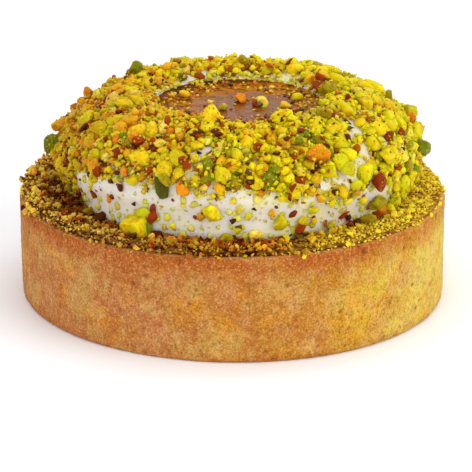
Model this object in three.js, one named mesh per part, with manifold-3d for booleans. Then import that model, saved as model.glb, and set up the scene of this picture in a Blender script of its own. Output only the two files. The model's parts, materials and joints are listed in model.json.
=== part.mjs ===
// A pistachio tart: a straight-sided pastry case, a bed of ground nuts over its top, a ring of
// whipped cream set on the bed, chopped nuts stuck all over the ring, and praline in its well.
// Millimetres, +Z up. The origin is the middle of the flat underside, on the case's axis.
import * as THREE from "three";
import { mergeVertices } from "three/addons/utils/BufferGeometryUtils.js";
import Module from "manifold-3d";

const wasm = await Module();
wasm.setup();

// Pastry case, baked in a ring of 80 by 20 mm, so a little lower than the ring
const CASE_RADIUS = 40;
const CASE_HEIGHT = 19.6;
const CASE_WALL = 3;
const CASE_ROUNDING = 0.6;
const HEEL_ROUNDING = 0.7;
const HEEL_EXTRA = 1.4;
const HEEL_PULL = 0.18;
const HEEL_SIDE = -0.1;
const CASE_LEAN = -0.35;
const CASE_WARP = 0.65;
const CASE_SEGMENTS = 64;

// Gap between pieces that touch
const GAP = 0.3;

// Bed of ground nuts, which fills a recess in the case and lies over its rim
const BED_DEPTH = 3.2;
const BED_RADIUS = 39.2;
const BED_RAGGED_EDGE = 0.5;
const BED_BEVEL = 0.4;
const BED_LEVEL_FROM = BED_RADIUS - 2.5;
const BED_UNDER_CREAM = 19.3;
const BED_AT_FOOT = 19.7;
const BED_AT_RIM = 20.5;
const BED_LEFT_LIFT = 0.45;
const BED_LEAST_BRIM = 0.15;
const BED_RELIEF = 0.38;
const BED_WANDER = 0.3;
const BED_SEGMENTS = 84;
const BED_RINGS = 6;
const GRAIN_COUNT = 36;
const GRAIN_SIZE = [1.4, 2.3];
const GRAIN_SHAPE = [1, 0.8, 0.7];

// Ring of cream: its outline from the foot, over the crest, to the lip of the well
const CREAM_BASE = BED_UNDER_CREAM + GAP;
const CREAM_OUTLINE = [
  [29.9, CREAM_BASE],
  [31.0, 22.4],
  [33.2, 26.6],
  [32.0, 31.0],
  [28.7, 34.6],
  [25.0, 36.9],
  [21.4, 37.9],
  [18.2, 37.8],
  [15.7, 36.9],
];
const CREAM_OFFSET = 0.7;
const CREAM_WAVES = [
  { turns: 2, depth: 0.3, start: 0.6 },
  { turns: 3, depth: 0.22, start: 2.1 },
  { turns: 5, depth: 0.12, start: 4.0 },
];
const CREAM_SEGMENTS = 60;
const CREAM_RINGS = 14;

// Well and praline
const WELL_RADIUS = 15.4;
const WELL_FLOOR = 30.5;
const WELL_FLOOR_RADIUS = 11;
const PRALINE_LEVEL = 36.5;
const PRALINE_DIP = 0.3;
const PRALINE_MENISCUS = 1.6;
const PRALINE_SEGMENTS = 48;

// Chopped nuts. Widths and thicknesses are shares of a nut's length, and cuts are depths in a
// ball of unit size.
const GOLDEN_TURN = Math.PI * (3 - Math.sqrt(5));
const NUT_TRIES = 4000;
const NUT_MOST = 148;
const NUT_SIZE = [2.9, 4.3];
const NUT_WIDTH = [0.62, 0.95];
const NUT_THICKNESS = [0.6, 0.95];
const NUT_TILT = 0.35;
const NUT_RANGE = [0.09, 0.94];
const NUT_SPACING = 0.62;
const NUT_LAYER = 0.8;
const NUT_BARE_HEIGHT = 26.4;
const NUT_BARE_FADE = 1.5;
const NUT_LOW_SHARE = 0.1;
const NUT_STAND = 0.28;
const CUT_COUNT = 6;
const CUT_DEPTH = [0.32, 0.44];

// Each kind of random draw has a number of its own, and so has each set of nuts
const DRAW = {
  lump: 1, wander: 2, edge: 3,
  turn: 4, share: 5, keep: 6, length: 7, width: 8, thickness: 9, spin: 10, tilt: 11,
  grainRadius: 12, grainLength: 13, grainTilt: 14,
  cutTurn: 20, cutRise: 40, cutDepth: 60,
};
const FIRST_NUMBER = { scattered: 100, grain: 500, onPraline: 700 };

// The larger nuts that stand out, by their place on the ring: degrees round it from +X, and the
// share of the outline from the foot to the lip. Sizes are along the ring, up it, and outwards.
const LARGE_NUTS = [
  { at: [-127, 0.07], size: [5.0, 4.6, 3.8], shape: "chunk", spin: 8 },
  { at: [-113.5, 0.33], size: [2.8, 5.3, 2.2], shape: "leaf", spin: 4 },
  { at: [-116.5, 0.165], size: [1.8, 2.6, 1.2], shape: "chunk", spin: -12 },
  { at: [-107, 0.33], size: [2.8, 3.0, 2.4], shape: "chunk", spin: 20 },
  { at: [-98, 0.225], size: [3.1, 3.9, 2.4], shape: "chunk", spin: 10 },
  { at: [-93.5, 0.06], size: [2.9, 3.9, 2.4], shape: "leaf", spin: 0 },
  { at: [-76, 0.14], size: [2.8, 2.8, 2.2], shape: "chunk", spin: 30 },
  { at: [-70.5, 0.1], size: [2.2, 2.2, 1.4], shape: "chunk", spin: 45 },
  { at: [-42.5, 0.29], size: [2.9, 4.3, 2.6], shape: "leaf", spin: -8 },
  { at: [-40, 0.17], size: [3.4, 3.1, 2.6], shape: "chunk", spin: 15 },
  { at: [-31, 0.07], size: [4.3, 4.0, 3.2], shape: "shard", spin: -20 },
  { at: [-62, 0.475], size: [4.2, 3.1, 2.6], shape: "chunk", spin: -15 },
  { at: [-104.5, 0.83], size: [4.9, 3.6, 4.6], shape: "shard", spin: 12 },
  { at: [-67, 0.83], size: [5.1, 3.4, 3.6], shape: "chunk", spin: -5 },
  { at: [-46.5, 0.73], size: [3.6, 2.6, 2.0], shape: "leaf", spin: 80 },
  { at: [-174, 0.31], size: [3.4, 3.8, 3.4], shape: "chunk", spin: 25 },
  { at: [178, 0.37], size: [3.0, 3.0, 2.8], shape: "chunk", spin: 60 },
  { at: [-7, 0.3], size: [3.0, 4.4, 2.6], shape: "leaf", spin: 10 },
  { at: [4, 0.43], size: [3.4, 3.4, 3.2], shape: "chunk", spin: -30 },
  { at: [143, 0.66], size: [3.1, 3.0, 3.4], shape: "shard", spin: 0 },
  { at: [24, 0.9], size: [4.6, 3.4, 3.6], shape: "shard", spin: 30 },
  { at: [-2, 0.9], size: [3.8, 3.2, 2.8], shape: "chunk", spin: 50 },
  { at: [-35.5, 0.375], size: [3.9, 3.5, 2.8], shape: "chunk", spin: 35 },
  { at: [-53.5, 0.375], size: [2.9, 2.7, 2.2], shape: "chunk", spin: 0 },
];

// Nuts that lie on the praline: distance from the well's axis, degrees, and size
const PRALINE_NUTS = [
  { at: [1.6, -140], size: [2.3, 2.0, 1.7] },
  { at: [3.2, -30], size: [3.2, 2.2, 1.9] },
  { at: [9.4, -22], size: [2.1, 1.6, 1.5] },
  { at: [11.4, 12], size: [2.2, 2.0, 1.7] },
  { at: [5.6, -118], size: [2.0, 1.6, 1.3] },
  { at: [10.8, 160], size: [2.0, 1.6, 1.4] },
];

const COLOURS = {
  pastry: 0xc78a45,
  meal: 0x8c6426,
  cream: 0xe9e2d2,
  praline: 0x8a5a20,
};

// A number from 0 to 1 that is always the same for the same two whole numbers.
function draw(count, channel) {
  const value = Math.sin(count * 12.9898 + channel * 78.233) * 43758.5453;
  return value - Math.floor(value);
}

function between([low, high], share) {
  return low + (high - low) * share;
}

// Eases from 0 at start to 1 at end. The start may be the higher of the two.
function smooth(start, end, value) {
  const share = THREE.MathUtils.clamp((value - start) / (end - start), 0, 1);
  return share * share * (3 - 2 * share);
}

// A closed solid from a three.js geometry, once its seams are merged.
function solidOf(geometry) {
  const bare = new THREE.BufferGeometry();
  bare.setAttribute("position", geometry.getAttribute("position"));
  bare.setIndex(geometry.index);
  const merged = mergeVertices(bare, 1e-4);
  const corners = merged.index.array;
  const kept = [];
  for (let i = 0; i < corners.length; i += 3) {
    const [a, b, c] = corners.slice(i, i + 3);
    if (a !== b && b !== c && c !== a) kept.push(a, b, c);
  }
  return new wasm.Manifold(
    new wasm.Mesh({
      numProp: 3,
      vertProperties: merged.getAttribute("position").array,
      triVerts: new Uint32Array(kept),
    }),
  );
}

function geometryOf(solid) {
  const mesh = solid.getMesh();
  const geometry = new THREE.BufferGeometry();
  geometry.setAttribute("position", new THREE.BufferAttribute(mesh.vertProperties, 3));
  geometry.setIndex(new THREE.BufferAttribute(mesh.triVerts, 1));
  geometry.computeVertexNormals();
  return geometry;
}

// Spins a profile of [radius, height] about Z. It starts and ends on the axis, going up outside.
// reshape(radius, height, angle, index) gives each point's own [radius, height].
function spun(profile, segments, reshape, centreX = 0) {
  const line = profile.map(([r, z]) => new THREE.Vector2(r, z));
  const geometry = new THREE.LatheGeometry(line, segments);
  const points = geometry.getAttribute("position");
  for (let i = 0; i < points.count; i++) {
    const turn = Math.floor(i / line.length) % segments;
    const angle = (turn / segments) * 2 * Math.PI;
    const index = i % line.length;
    const [r, z] = reshape(line[index].x, line[index].y, angle, index);
    points.setXYZ(i, centreX + r * Math.cos(angle), r * Math.sin(angle), z);
  }
  return geometry;
}

function quarterArc(centreR, centreZ, radius, from, to, steps) {
  const arc = [];
  for (let i = 0; i <= steps; i++) {
    const angle = THREE.MathUtils.degToRad(from + ((to - from) * i) / steps);
    arc.push([centreR + radius * Math.cos(angle), centreZ + radius * Math.sin(angle)]);
  }
  return arc;
}

// The pastry case, solid up to the recess that holds the ground nuts
function pastryCase() {
  const recess = CASE_HEIGHT - BED_DEPTH - GAP;
  const inner = CASE_RADIUS - CASE_WALL;
  const profile = [
    [0, 0],
    [CASE_RADIUS * 0.6, 0],
    ...quarterArc(CASE_RADIUS - HEEL_ROUNDING, HEEL_ROUNDING, HEEL_ROUNDING, -90, 0, 3),
    [CASE_RADIUS, CASE_HEIGHT / 2],
    ...quarterArc(CASE_RADIUS - CASE_ROUNDING, CASE_HEIGHT - CASE_ROUNDING, CASE_ROUNDING, 0, 90, 2),
    [inner, CASE_HEIGHT],
    [inner, recess],
    [0, recess],
  ];
  // The heel is rounder on one side, the wall leans a little and isn't quite round
  const reshape = (r, z, angle) => {
    if (r <= inner) return [r, z];
    const soft = HEEL_EXTRA * smooth(-0.4, 1, Math.cos(angle - HEEL_SIDE));
    const pull = HEEL_PULL * soft * smooth(HEEL_ROUNDING + soft, 0, z);
    const warp = CASE_WARP * Math.sin(2 * angle) * smooth(CASE_HEIGHT, 0, z);
    return [r - pull - warp + CASE_LEAN * Math.cos(angle), z];
  };
  return solidOf(spun(profile, CASE_SEGMENTS, reshape));
}

const creamCurve = new THREE.SplineCurve(CREAM_OUTLINE.map(([r, z]) => new THREE.Vector2(r, z)));

// Share of the cream that nuts cover: all above a height, little below it, and more on one side
function coverage(angle, height) {
  const side = smooth(0.1, 0.9, Math.cos(angle + 0.6));
  const edge = NUT_BARE_HEIGHT - 3.5 * side;
  const above = smooth(edge - NUT_BARE_FADE, edge + NUT_BARE_FADE, height);
  return between([NUT_LOW_SHARE + 0.25 * side, 1], above);
}

// The cream's outline at an angle, as [radius, height]. It swells a little unevenly, and by the
// layer of fine nuts where they cover it. Its foot and its lip stay as drawn.
function creamOutline(angle, share) {
  const { x, y } = creamCurve.getPoint(share);
  const slope = creamCurve.getTangent(share);
  let swell = NUT_LAYER * coverage(angle, y);
  for (const wave of CREAM_WAVES) swell += wave.depth * Math.sin(wave.turns * angle + wave.start);
  swell *= smooth(0, 0.2, share) * smooth(1, 0.85, share);
  return [x + slope.y * swell, y - slope.x * swell];
}

function creamPoint(angle, share) {
  const [r, z] = creamOutline(angle, share);
  return new THREE.Vector3(CREAM_OFFSET + r * Math.cos(angle), r * Math.sin(angle), z);
}

// Directions along the ring, up the outline and outwards, as a matrix
function creamFrame(angle, share) {
  const step = 0.01;
  const low = Math.max(share - step, 0);
  const high = Math.min(share + step, 1);
  const up = creamPoint(angle, high).sub(creamPoint(angle, low)).normalize();
  const along = creamPoint(angle + step, share).sub(creamPoint(angle - step, share)).normalize();
  const out = new THREE.Vector3().crossVectors(along, up).normalize();
  return new THREE.Matrix4().makeBasis(along, new THREE.Vector3().crossVectors(out, along), out);
}

function creamRing() {
  const profile = [[0, CREAM_BASE]];
  for (let i = 0; i <= CREAM_RINGS; i++) {
    const { x, y } = creamCurve.getPoint(i / CREAM_RINGS);
    profile.push([x, y]);
  }
  profile.push([WELL_FLOOR_RADIUS, WELL_FLOOR], [0, WELL_FLOOR]);
  const last = CREAM_RINGS + 1;
  const reshape = (r, z, angle, index) =>
    index < 1 || index > last ? [r, z] : creamOutline(angle, (index - 1) / CREAM_RINGS);
  return solidOf(spun(profile, CREAM_SEGMENTS, reshape, CREAM_OFFSET));
}

// Praline in the well, with its edge drawn up a little
function praline() {
  const lip = CREAM_OUTLINE[CREAM_OUTLINE.length - 1];
  const slope = (lip[0] - WELL_FLOOR_RADIUS) / (lip[1] - WELL_FLOOR);
  const atLevel = WELL_FLOOR_RADIUS + slope * (PRALINE_LEVEL - WELL_FLOOR);
  const profile = [
    [0, WELL_FLOOR + GAP],
    [WELL_FLOOR_RADIUS - GAP, WELL_FLOOR + GAP],
    [atLevel - GAP * 1.3, PRALINE_LEVEL],
    [atLevel - PRALINE_MENISCUS, PRALINE_LEVEL - PRALINE_DIP * 0.8],
    [atLevel * 0.5, PRALINE_LEVEL - PRALINE_DIP],
    [0, PRALINE_LEVEL - PRALINE_DIP],
  ];
  return solidOf(spun(profile, PRALINE_SEGMENTS, (r, z) => [r, z], CREAM_OFFSET));
}

// Height of the bed of ground nuts, which dips to the foot of the cream and is thicker on one side
function bedHeight(r, angle) {
  const foot = CREAM_OUTLINE[0][0] + CREAM_OFFSET * Math.cos(angle);
  const rise = smooth(foot, BED_LEVEL_FROM, r);
  return between([BED_AT_FOOT, BED_AT_RIM - BED_LEFT_LIFT * Math.cos(angle)], rise);
}

// The bed's core: a disc in the recess, and a brim of crumbs with a rough top over the rim
function nutBed() {
  const bottom = CASE_HEIGHT - BED_DEPTH;
  const inner = CASE_RADIUS - CASE_WALL - GAP;
  const brim = CASE_HEIGHT + GAP;
  const start = CREAM_OUTLINE[0][0] + CREAM_OFFSET + GAP;
  const profile = [
    [0, bottom],
    [inner, bottom],
    [inner, brim],
    [BED_RADIUS, brim],
  ];
  const firstRing = profile.length;
  for (let i = 0; i < BED_RINGS; i++) {
    profile.push([between([BED_RADIUS - BED_BEVEL, start + 0.1], i / (BED_RINGS - 1)), 0]);
  }
  const lastRing = profile.length - 1;
  profile.push([start, BED_UNDER_CREAM], [0, BED_UNDER_CREAM]);
  const reshape = (r, z, angle, index) => {
    const turn = Math.round((angle / (2 * Math.PI)) * BED_SEGMENTS);
    if (index === firstRing - 1) return [r - BED_RAGGED_EDGE * draw(turn, DRAW.edge), z];
    if (index < firstRing || index > lastRing) return [r, z];
    const ring = index - firstRing;
    const rough = ring === 0 || index === lastRing ? 0 : 1;
    const lump = (2 * draw(turn * BED_RINGS + ring, DRAW.lump) - 1) * BED_RELIEF * rough;
    const wander = (2 * draw(turn * BED_RINGS + ring, DRAW.wander) - 1) * BED_WANDER * rough;
    const least = r > inner - BED_BEVEL - 4 * BED_WANDER ? brim + BED_LEAST_BRIM : 0;
    return [r + wander, Math.max(bedHeight(r, angle) + lump, least)];
  };
  return solidOf(spun(profile, BED_SEGMENTS, reshape));
}

// A chopped nut of unit size: a ball with flat cuts, a pointed leaf, or a shard
function nutShape(shape, number) {
  if (shape === "shard") return new THREE.CylinderGeometry(0.14, 0.56, 0.95, 5).rotateX(Math.PI / 2);
  const geometry = new THREE.IcosahedronGeometry(0.5, 0);
  const points = geometry.getAttribute("position");
  const point = new THREE.Vector3();
  for (let i = 0; i < points.count; i++) {
    point.fromBufferAttribute(points, i);
    if (shape === "chunk") cutFlat(point, number);
    if (shape === "leaf") point.x *= 1 - 0.9 * Math.max(point.y, 0);
    points.setXYZ(i, point.x, point.y, point.z);
  }
  return geometry.setIndex(Array.from({ length: points.count }, (_, i) => i));
}

// Moves a point of a ball onto the flat cuts that it lies beyond
function cutFlat(point, number) {
  for (let cut = 0; cut < CUT_COUNT; cut++) {
    const turn = 2 * Math.PI * draw(number, DRAW.cutTurn + cut);
    const rise = between([-0.3, 1], draw(number, DRAW.cutRise + cut));
    const flat = Math.sqrt(1 - rise * rise);
    const normal = new THREE.Vector3(flat * Math.cos(turn), flat * Math.sin(turn), rise);
    const beyond = point.dot(normal) - between(CUT_DEPTH, draw(number, DRAW.cutDepth + cut));
    if (beyond > 0) point.addScaledVector(normal, -beyond);
  }
}

// A nut of a size, turned by spin and tilted a little, with its middle at a place in a frame
function placedNut(shape, number, size, spin, tilt, frame, place) {
  const geometry = nutShape(shape, number);
  geometry.scale(...size);
  geometry.rotateZ(spin);
  geometry.rotateX(tilt);
  geometry.applyMatrix4(frame);
  geometry.translate(place.x, place.y, place.z);
  return solidOf(geometry);
}

function nutOnCream({ angle, share, size, shape, spin, tilt, number }) {
  const frame = creamFrame(angle, share);
  const out = new THREE.Vector3().setFromMatrixColumn(frame, 2);
  const place = creamPoint(angle, share).addScaledVector(out, NUT_STAND * size[2]);
  return placedNut(shape, number, size, spin, tilt, frame, place);
}

// Shares of the outline that cut the ring's surface into bands of equal area
function evenShares(steps) {
  const sums = [0];
  for (let i = 1; i <= steps; i++) {
    const from = creamCurve.getPoint((i - 1) / steps);
    const to = creamCurve.getPoint(i / steps);
    sums.push(sums[i - 1] + from.distanceTo(to) * (from.x + to.x));
  }
  return (wanted) => {
    const target = wanted * sums[steps];
    const i = sums.findIndex((sum) => sum >= target);
    return i < 1 ? 0 : (i - (sums[i] - target) / (sums[i] - sums[i - 1])) / steps;
  };
}

// The nuts that stand out, in the form that every nut on the ring has
function largeNuts() {
  return LARGE_NUTS.map(({ at, size, shape, spin }, number) => ({
    angle: THREE.MathUtils.degToRad(at[0]),
    share: at[1],
    size,
    shape,
    spin: THREE.MathUtils.degToRad(spin),
    tilt: 0,
    number,
  }));
}

// A nut at a place drawn at random, even over the ring's surface
function scatteredNut(number, shareOf) {
  const long = between(NUT_SIZE, draw(number, DRAW.length) ** 2);
  const wide = long * between(NUT_WIDTH, draw(number, DRAW.width));
  const thick = long * between(NUT_THICKNESS, draw(number, DRAW.thickness));
  return {
    angle: 2 * Math.PI * draw(number, DRAW.turn),
    share: between(NUT_RANGE, shareOf(draw(number, DRAW.share))),
    size: [long, wide, thick],
    shape: "chunk",
    spin: 2 * Math.PI * draw(number, DRAW.spin),
    tilt: NUT_TILT * (2 * draw(number, DRAW.tilt) - 1),
    number: number + FIRST_NUMBER.scattered,
  };
}

// Every chopped nut on the ring: the large ones, then others where there is room for them
function nutPlaces() {
  const nuts = largeNuts();
  const shareOf = evenShares(200);
  const middles = nuts.map(({ angle, share }) => creamPoint(angle, share));
  for (let number = 0; number < NUT_TRIES && nuts.length < NUT_MOST; number++) {
    const nut = scatteredNut(number, shareOf);
    const middle = creamPoint(nut.angle, nut.share);
    if (draw(number, DRAW.keep) > coverage(nut.angle, middle.z)) continue;
    const room = (other, i) => middles[i].distanceTo(middle) > NUT_SPACING * (other.size[0] + nut.size[0]);
    if (!nuts.every(room)) continue;
    nuts.push(nut);
    middles.push(middle);
  }
  return nuts;
}

// A disc over the bed and its grains, and the praline's space, which nuts on the ring stay out of
function nutClearances() {
  const reach = CREAM_OUTLINE[0][0] + 2 * NUT_SIZE[1];
  const top = CREAM_BASE + 2 * GAP + BED_RELIEF;
  const bed = new THREE.CylinderGeometry(reach, reach, NUT_SIZE[1], PRALINE_SEGMENTS);
  bed.rotateX(Math.PI / 2).translate(0, 0, top - NUT_SIZE[1] / 2);
  const deep = PRALINE_LEVEL + GAP - WELL_FLOOR;
  const well = new THREE.CylinderGeometry(WELL_RADIUS, WELL_FLOOR_RADIUS, deep, PRALINE_SEGMENTS);
  well.rotateX(Math.PI / 2).translate(CREAM_OFFSET, 0, WELL_FLOOR + deep / 2);
  return solidOf(bed).add(solidOf(well));
}

// The largest of the bodies that a solid falls into, without the loose scraps of cut nuts
function mainBody(solid) {
  return solid.decompose().reduce((main, body) => (body.volume() > main.volume() ? body : main));
}

function creamWithNuts() {
  const nuts = nutPlaces().map(nutOnCream);
  const joined = nuts.reduce((sum, nut) => sum.add(nut));
  return mainBody(creamRing().add(joined.subtract(nutClearances())));
}

// The space that the case's wall takes, with the gap kept to it
function wallClearance() {
  const inner = CASE_RADIUS - CASE_WALL - GAP;
  const outer = CASE_RADIUS + 1;
  const top = CASE_HEIGHT + GAP + 0.05;
  const profile = [[inner, 0], [outer, 0], [outer, top], [inner, top], [inner, 0]];
  return solidOf(spun(profile, CASE_SEGMENTS, (r, z) => [r, z]));
}

// One loose grain of the bed, turned every way, so that no two look alike
function bedGrain(number) {
  const range = [CREAM_OUTLINE[0][0] + GRAIN_SIZE[1] + CREAM_OFFSET, BED_RADIUS - 1];
  const angle = number * GOLDEN_TURN;
  const r = between(range, Math.sqrt(draw(number, DRAW.grainRadius)));
  const long = between(GRAIN_SIZE, draw(number, DRAW.grainLength) ** 2);
  const size = GRAIN_SHAPE.map((share) => share * long);
  const place = new THREE.Vector3(r * Math.cos(angle), r * Math.sin(angle), bedHeight(r, angle) + 0.1);
  const tilt = draw(number, DRAW.grainTilt);
  return placedNut("chunk", number + FIRST_NUMBER.grain, size, angle, tilt, new THREE.Matrix4(), place);
}

function bedWithGrains() {
  const grains = Array.from({ length: GRAIN_COUNT }, (_, number) => bedGrain(number));
  const joined = grains.reduce((sum, grain) => sum.add(grain));
  return nutBed().add(joined.subtract(wallClearance()));
}

function nutOnPraline({ at: [distance, degrees], size }, number) {
  const angle = THREE.MathUtils.degToRad(degrees);
  const x = CREAM_OFFSET + distance * Math.cos(angle);
  const place = new THREE.Vector3(x, distance * Math.sin(angle), PRALINE_LEVEL);
  const shapeNumber = number + FIRST_NUMBER.onPraline;
  return placedNut("chunk", shapeNumber, size, angle, 0.2, new THREE.Matrix4(), place);
}

function pralineWithNuts() {
  return PRALINE_NUTS.map(nutOnPraline).reduce((sum, nut) => sum.add(nut), praline());
}

function node(name, solid, colour, roughness) {
  const material = new THREE.MeshStandardMaterial({ color: colour, roughness, metalness: 0 });
  const mesh = new THREE.Mesh(geometryOf(solid), material);
  mesh.name = name;
  return mesh;
}

const tart = new THREE.Group();
tart.add(node("pastry_case", pastryCase(), COLOURS.pastry, 0.85));
tart.add(node("nut_bed", bedWithGrains(), COLOURS.meal, 0.9));
tart.add(node("cream_ring", creamWithNuts(), COLOURS.cream, 0.55));
tart.add(node("praline", pralineWithNuts(), COLOURS.praline, 0.2));

export default tart;
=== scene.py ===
"""Dresses the pistachio tart: the fine form and the finish of everything that shows.

The tart has four parts, and each is a class: the pastry case, the bed of ground nuts, the ring of
cream with its chopped nuts, and the praline in the ring's well. Sizes are in millimetres, in the
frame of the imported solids, and become metres where a mesh is made.
"""

from __future__ import annotations

import json
import logging
import math
from dataclasses import dataclass
from enum import Enum
from typing import Any, Sequence

import bmesh
import bpy
import numpy as np
from mathutils import Matrix, Vector

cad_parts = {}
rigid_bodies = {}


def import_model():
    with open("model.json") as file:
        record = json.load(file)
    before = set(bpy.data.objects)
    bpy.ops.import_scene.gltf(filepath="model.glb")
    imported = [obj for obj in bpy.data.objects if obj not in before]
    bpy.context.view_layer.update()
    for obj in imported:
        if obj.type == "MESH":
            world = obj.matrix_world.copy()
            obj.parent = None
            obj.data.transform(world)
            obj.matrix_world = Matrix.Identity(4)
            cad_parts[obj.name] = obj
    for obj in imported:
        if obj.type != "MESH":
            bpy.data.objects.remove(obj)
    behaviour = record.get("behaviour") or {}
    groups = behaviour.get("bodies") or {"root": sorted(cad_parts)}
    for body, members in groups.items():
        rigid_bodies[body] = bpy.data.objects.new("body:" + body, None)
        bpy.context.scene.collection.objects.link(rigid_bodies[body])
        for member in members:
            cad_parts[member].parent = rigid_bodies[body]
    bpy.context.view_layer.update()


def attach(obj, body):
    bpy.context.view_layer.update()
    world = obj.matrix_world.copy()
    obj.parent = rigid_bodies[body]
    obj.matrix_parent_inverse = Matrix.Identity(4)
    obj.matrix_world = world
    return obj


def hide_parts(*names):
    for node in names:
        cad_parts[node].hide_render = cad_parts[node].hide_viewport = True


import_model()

MM = 0.001
BODY = "root"

Array = np.ndarray
BMesh = bmesh.types.BMesh
Colour = tuple[float, float, float, float]
Material = bpy.types.Material
Mesh = bpy.types.Mesh
Node = bpy.types.Node
NodeTree = bpy.types.NodeTree
Object = bpy.types.Object
Socket = bpy.types.NodeSocket
Pair = tuple[float, float]
Stops = tuple[tuple[float, Colour], ...]
Triple = tuple[float, float, float]
Waves = tuple[tuple[int, float, float], ...]

log = logging.getLogger("tart")


def srgb(red: int, green: int, blue: int) -> Colour:
    """Gives a colour of a screen as the linear one that a shader takes.

    Args:
        red: red, 0 to 255.
        green: green, 0 to 255.
        blue: blue, 0 to 255.

    Returns:
        The linear colour with an alpha of 1.
    """
    shares = [value / 255 for value in (red, green, blue)]
    linear = [s / 12.92 if s <= 0.04045 else ((s + 0.055) / 1.055) ** 2.4 for s in shares]
    return (linear[0], linear[1], linear[2], 1.0)


def row(*stops: tuple[float, int, int, int]) -> Stops:
    """Gives a row of colours from places in it, each with a screen's red, green and blue."""
    return tuple((place, srgb(*colour)) for place, *colour in stops)


def ease(start: float, end: float, value: Array) -> Array:
    """Eases from 0 at start to 1 at end, where start may be the higher of the two."""
    share = np.clip((value - start) / (end - start), 0, 1)
    return share * share * (3 - 2 * share)


def unit(rows: Array) -> Array:
    """Scales each row to a length of 1."""
    return rows / np.linalg.norm(rows, axis=-1, keepdims=True)


def circle(turns: int) -> Array:
    """Gives a number of even angles, once round."""
    return np.linspace(0, 2 * math.pi, turns, endpoint=False)


def around(angle: Array, r: Array | float, z: Array | float, offset: float = 0.0) -> Array:
    """Gives points, by axis last, round an upright axis that may be offset to the right."""
    sides = np.broadcast_arrays(offset + r * np.cos(angle), r * np.sin(angle), z)
    return np.stack(sides, axis=-1)


def wavy(base: Array | float, angle: Array, waves: Waves) -> Array:
    """Adds waves to a value round the axis.

    Args:
        base: the value.
        angle: the angles.
        waves: how often each goes up and down in a turn, how high it is, and where it starts.

    Returns:
        The values by angle.
    """
    for count, height, start in waves:
        base = base + height * np.sin(count * angle + start)
    return base


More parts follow.
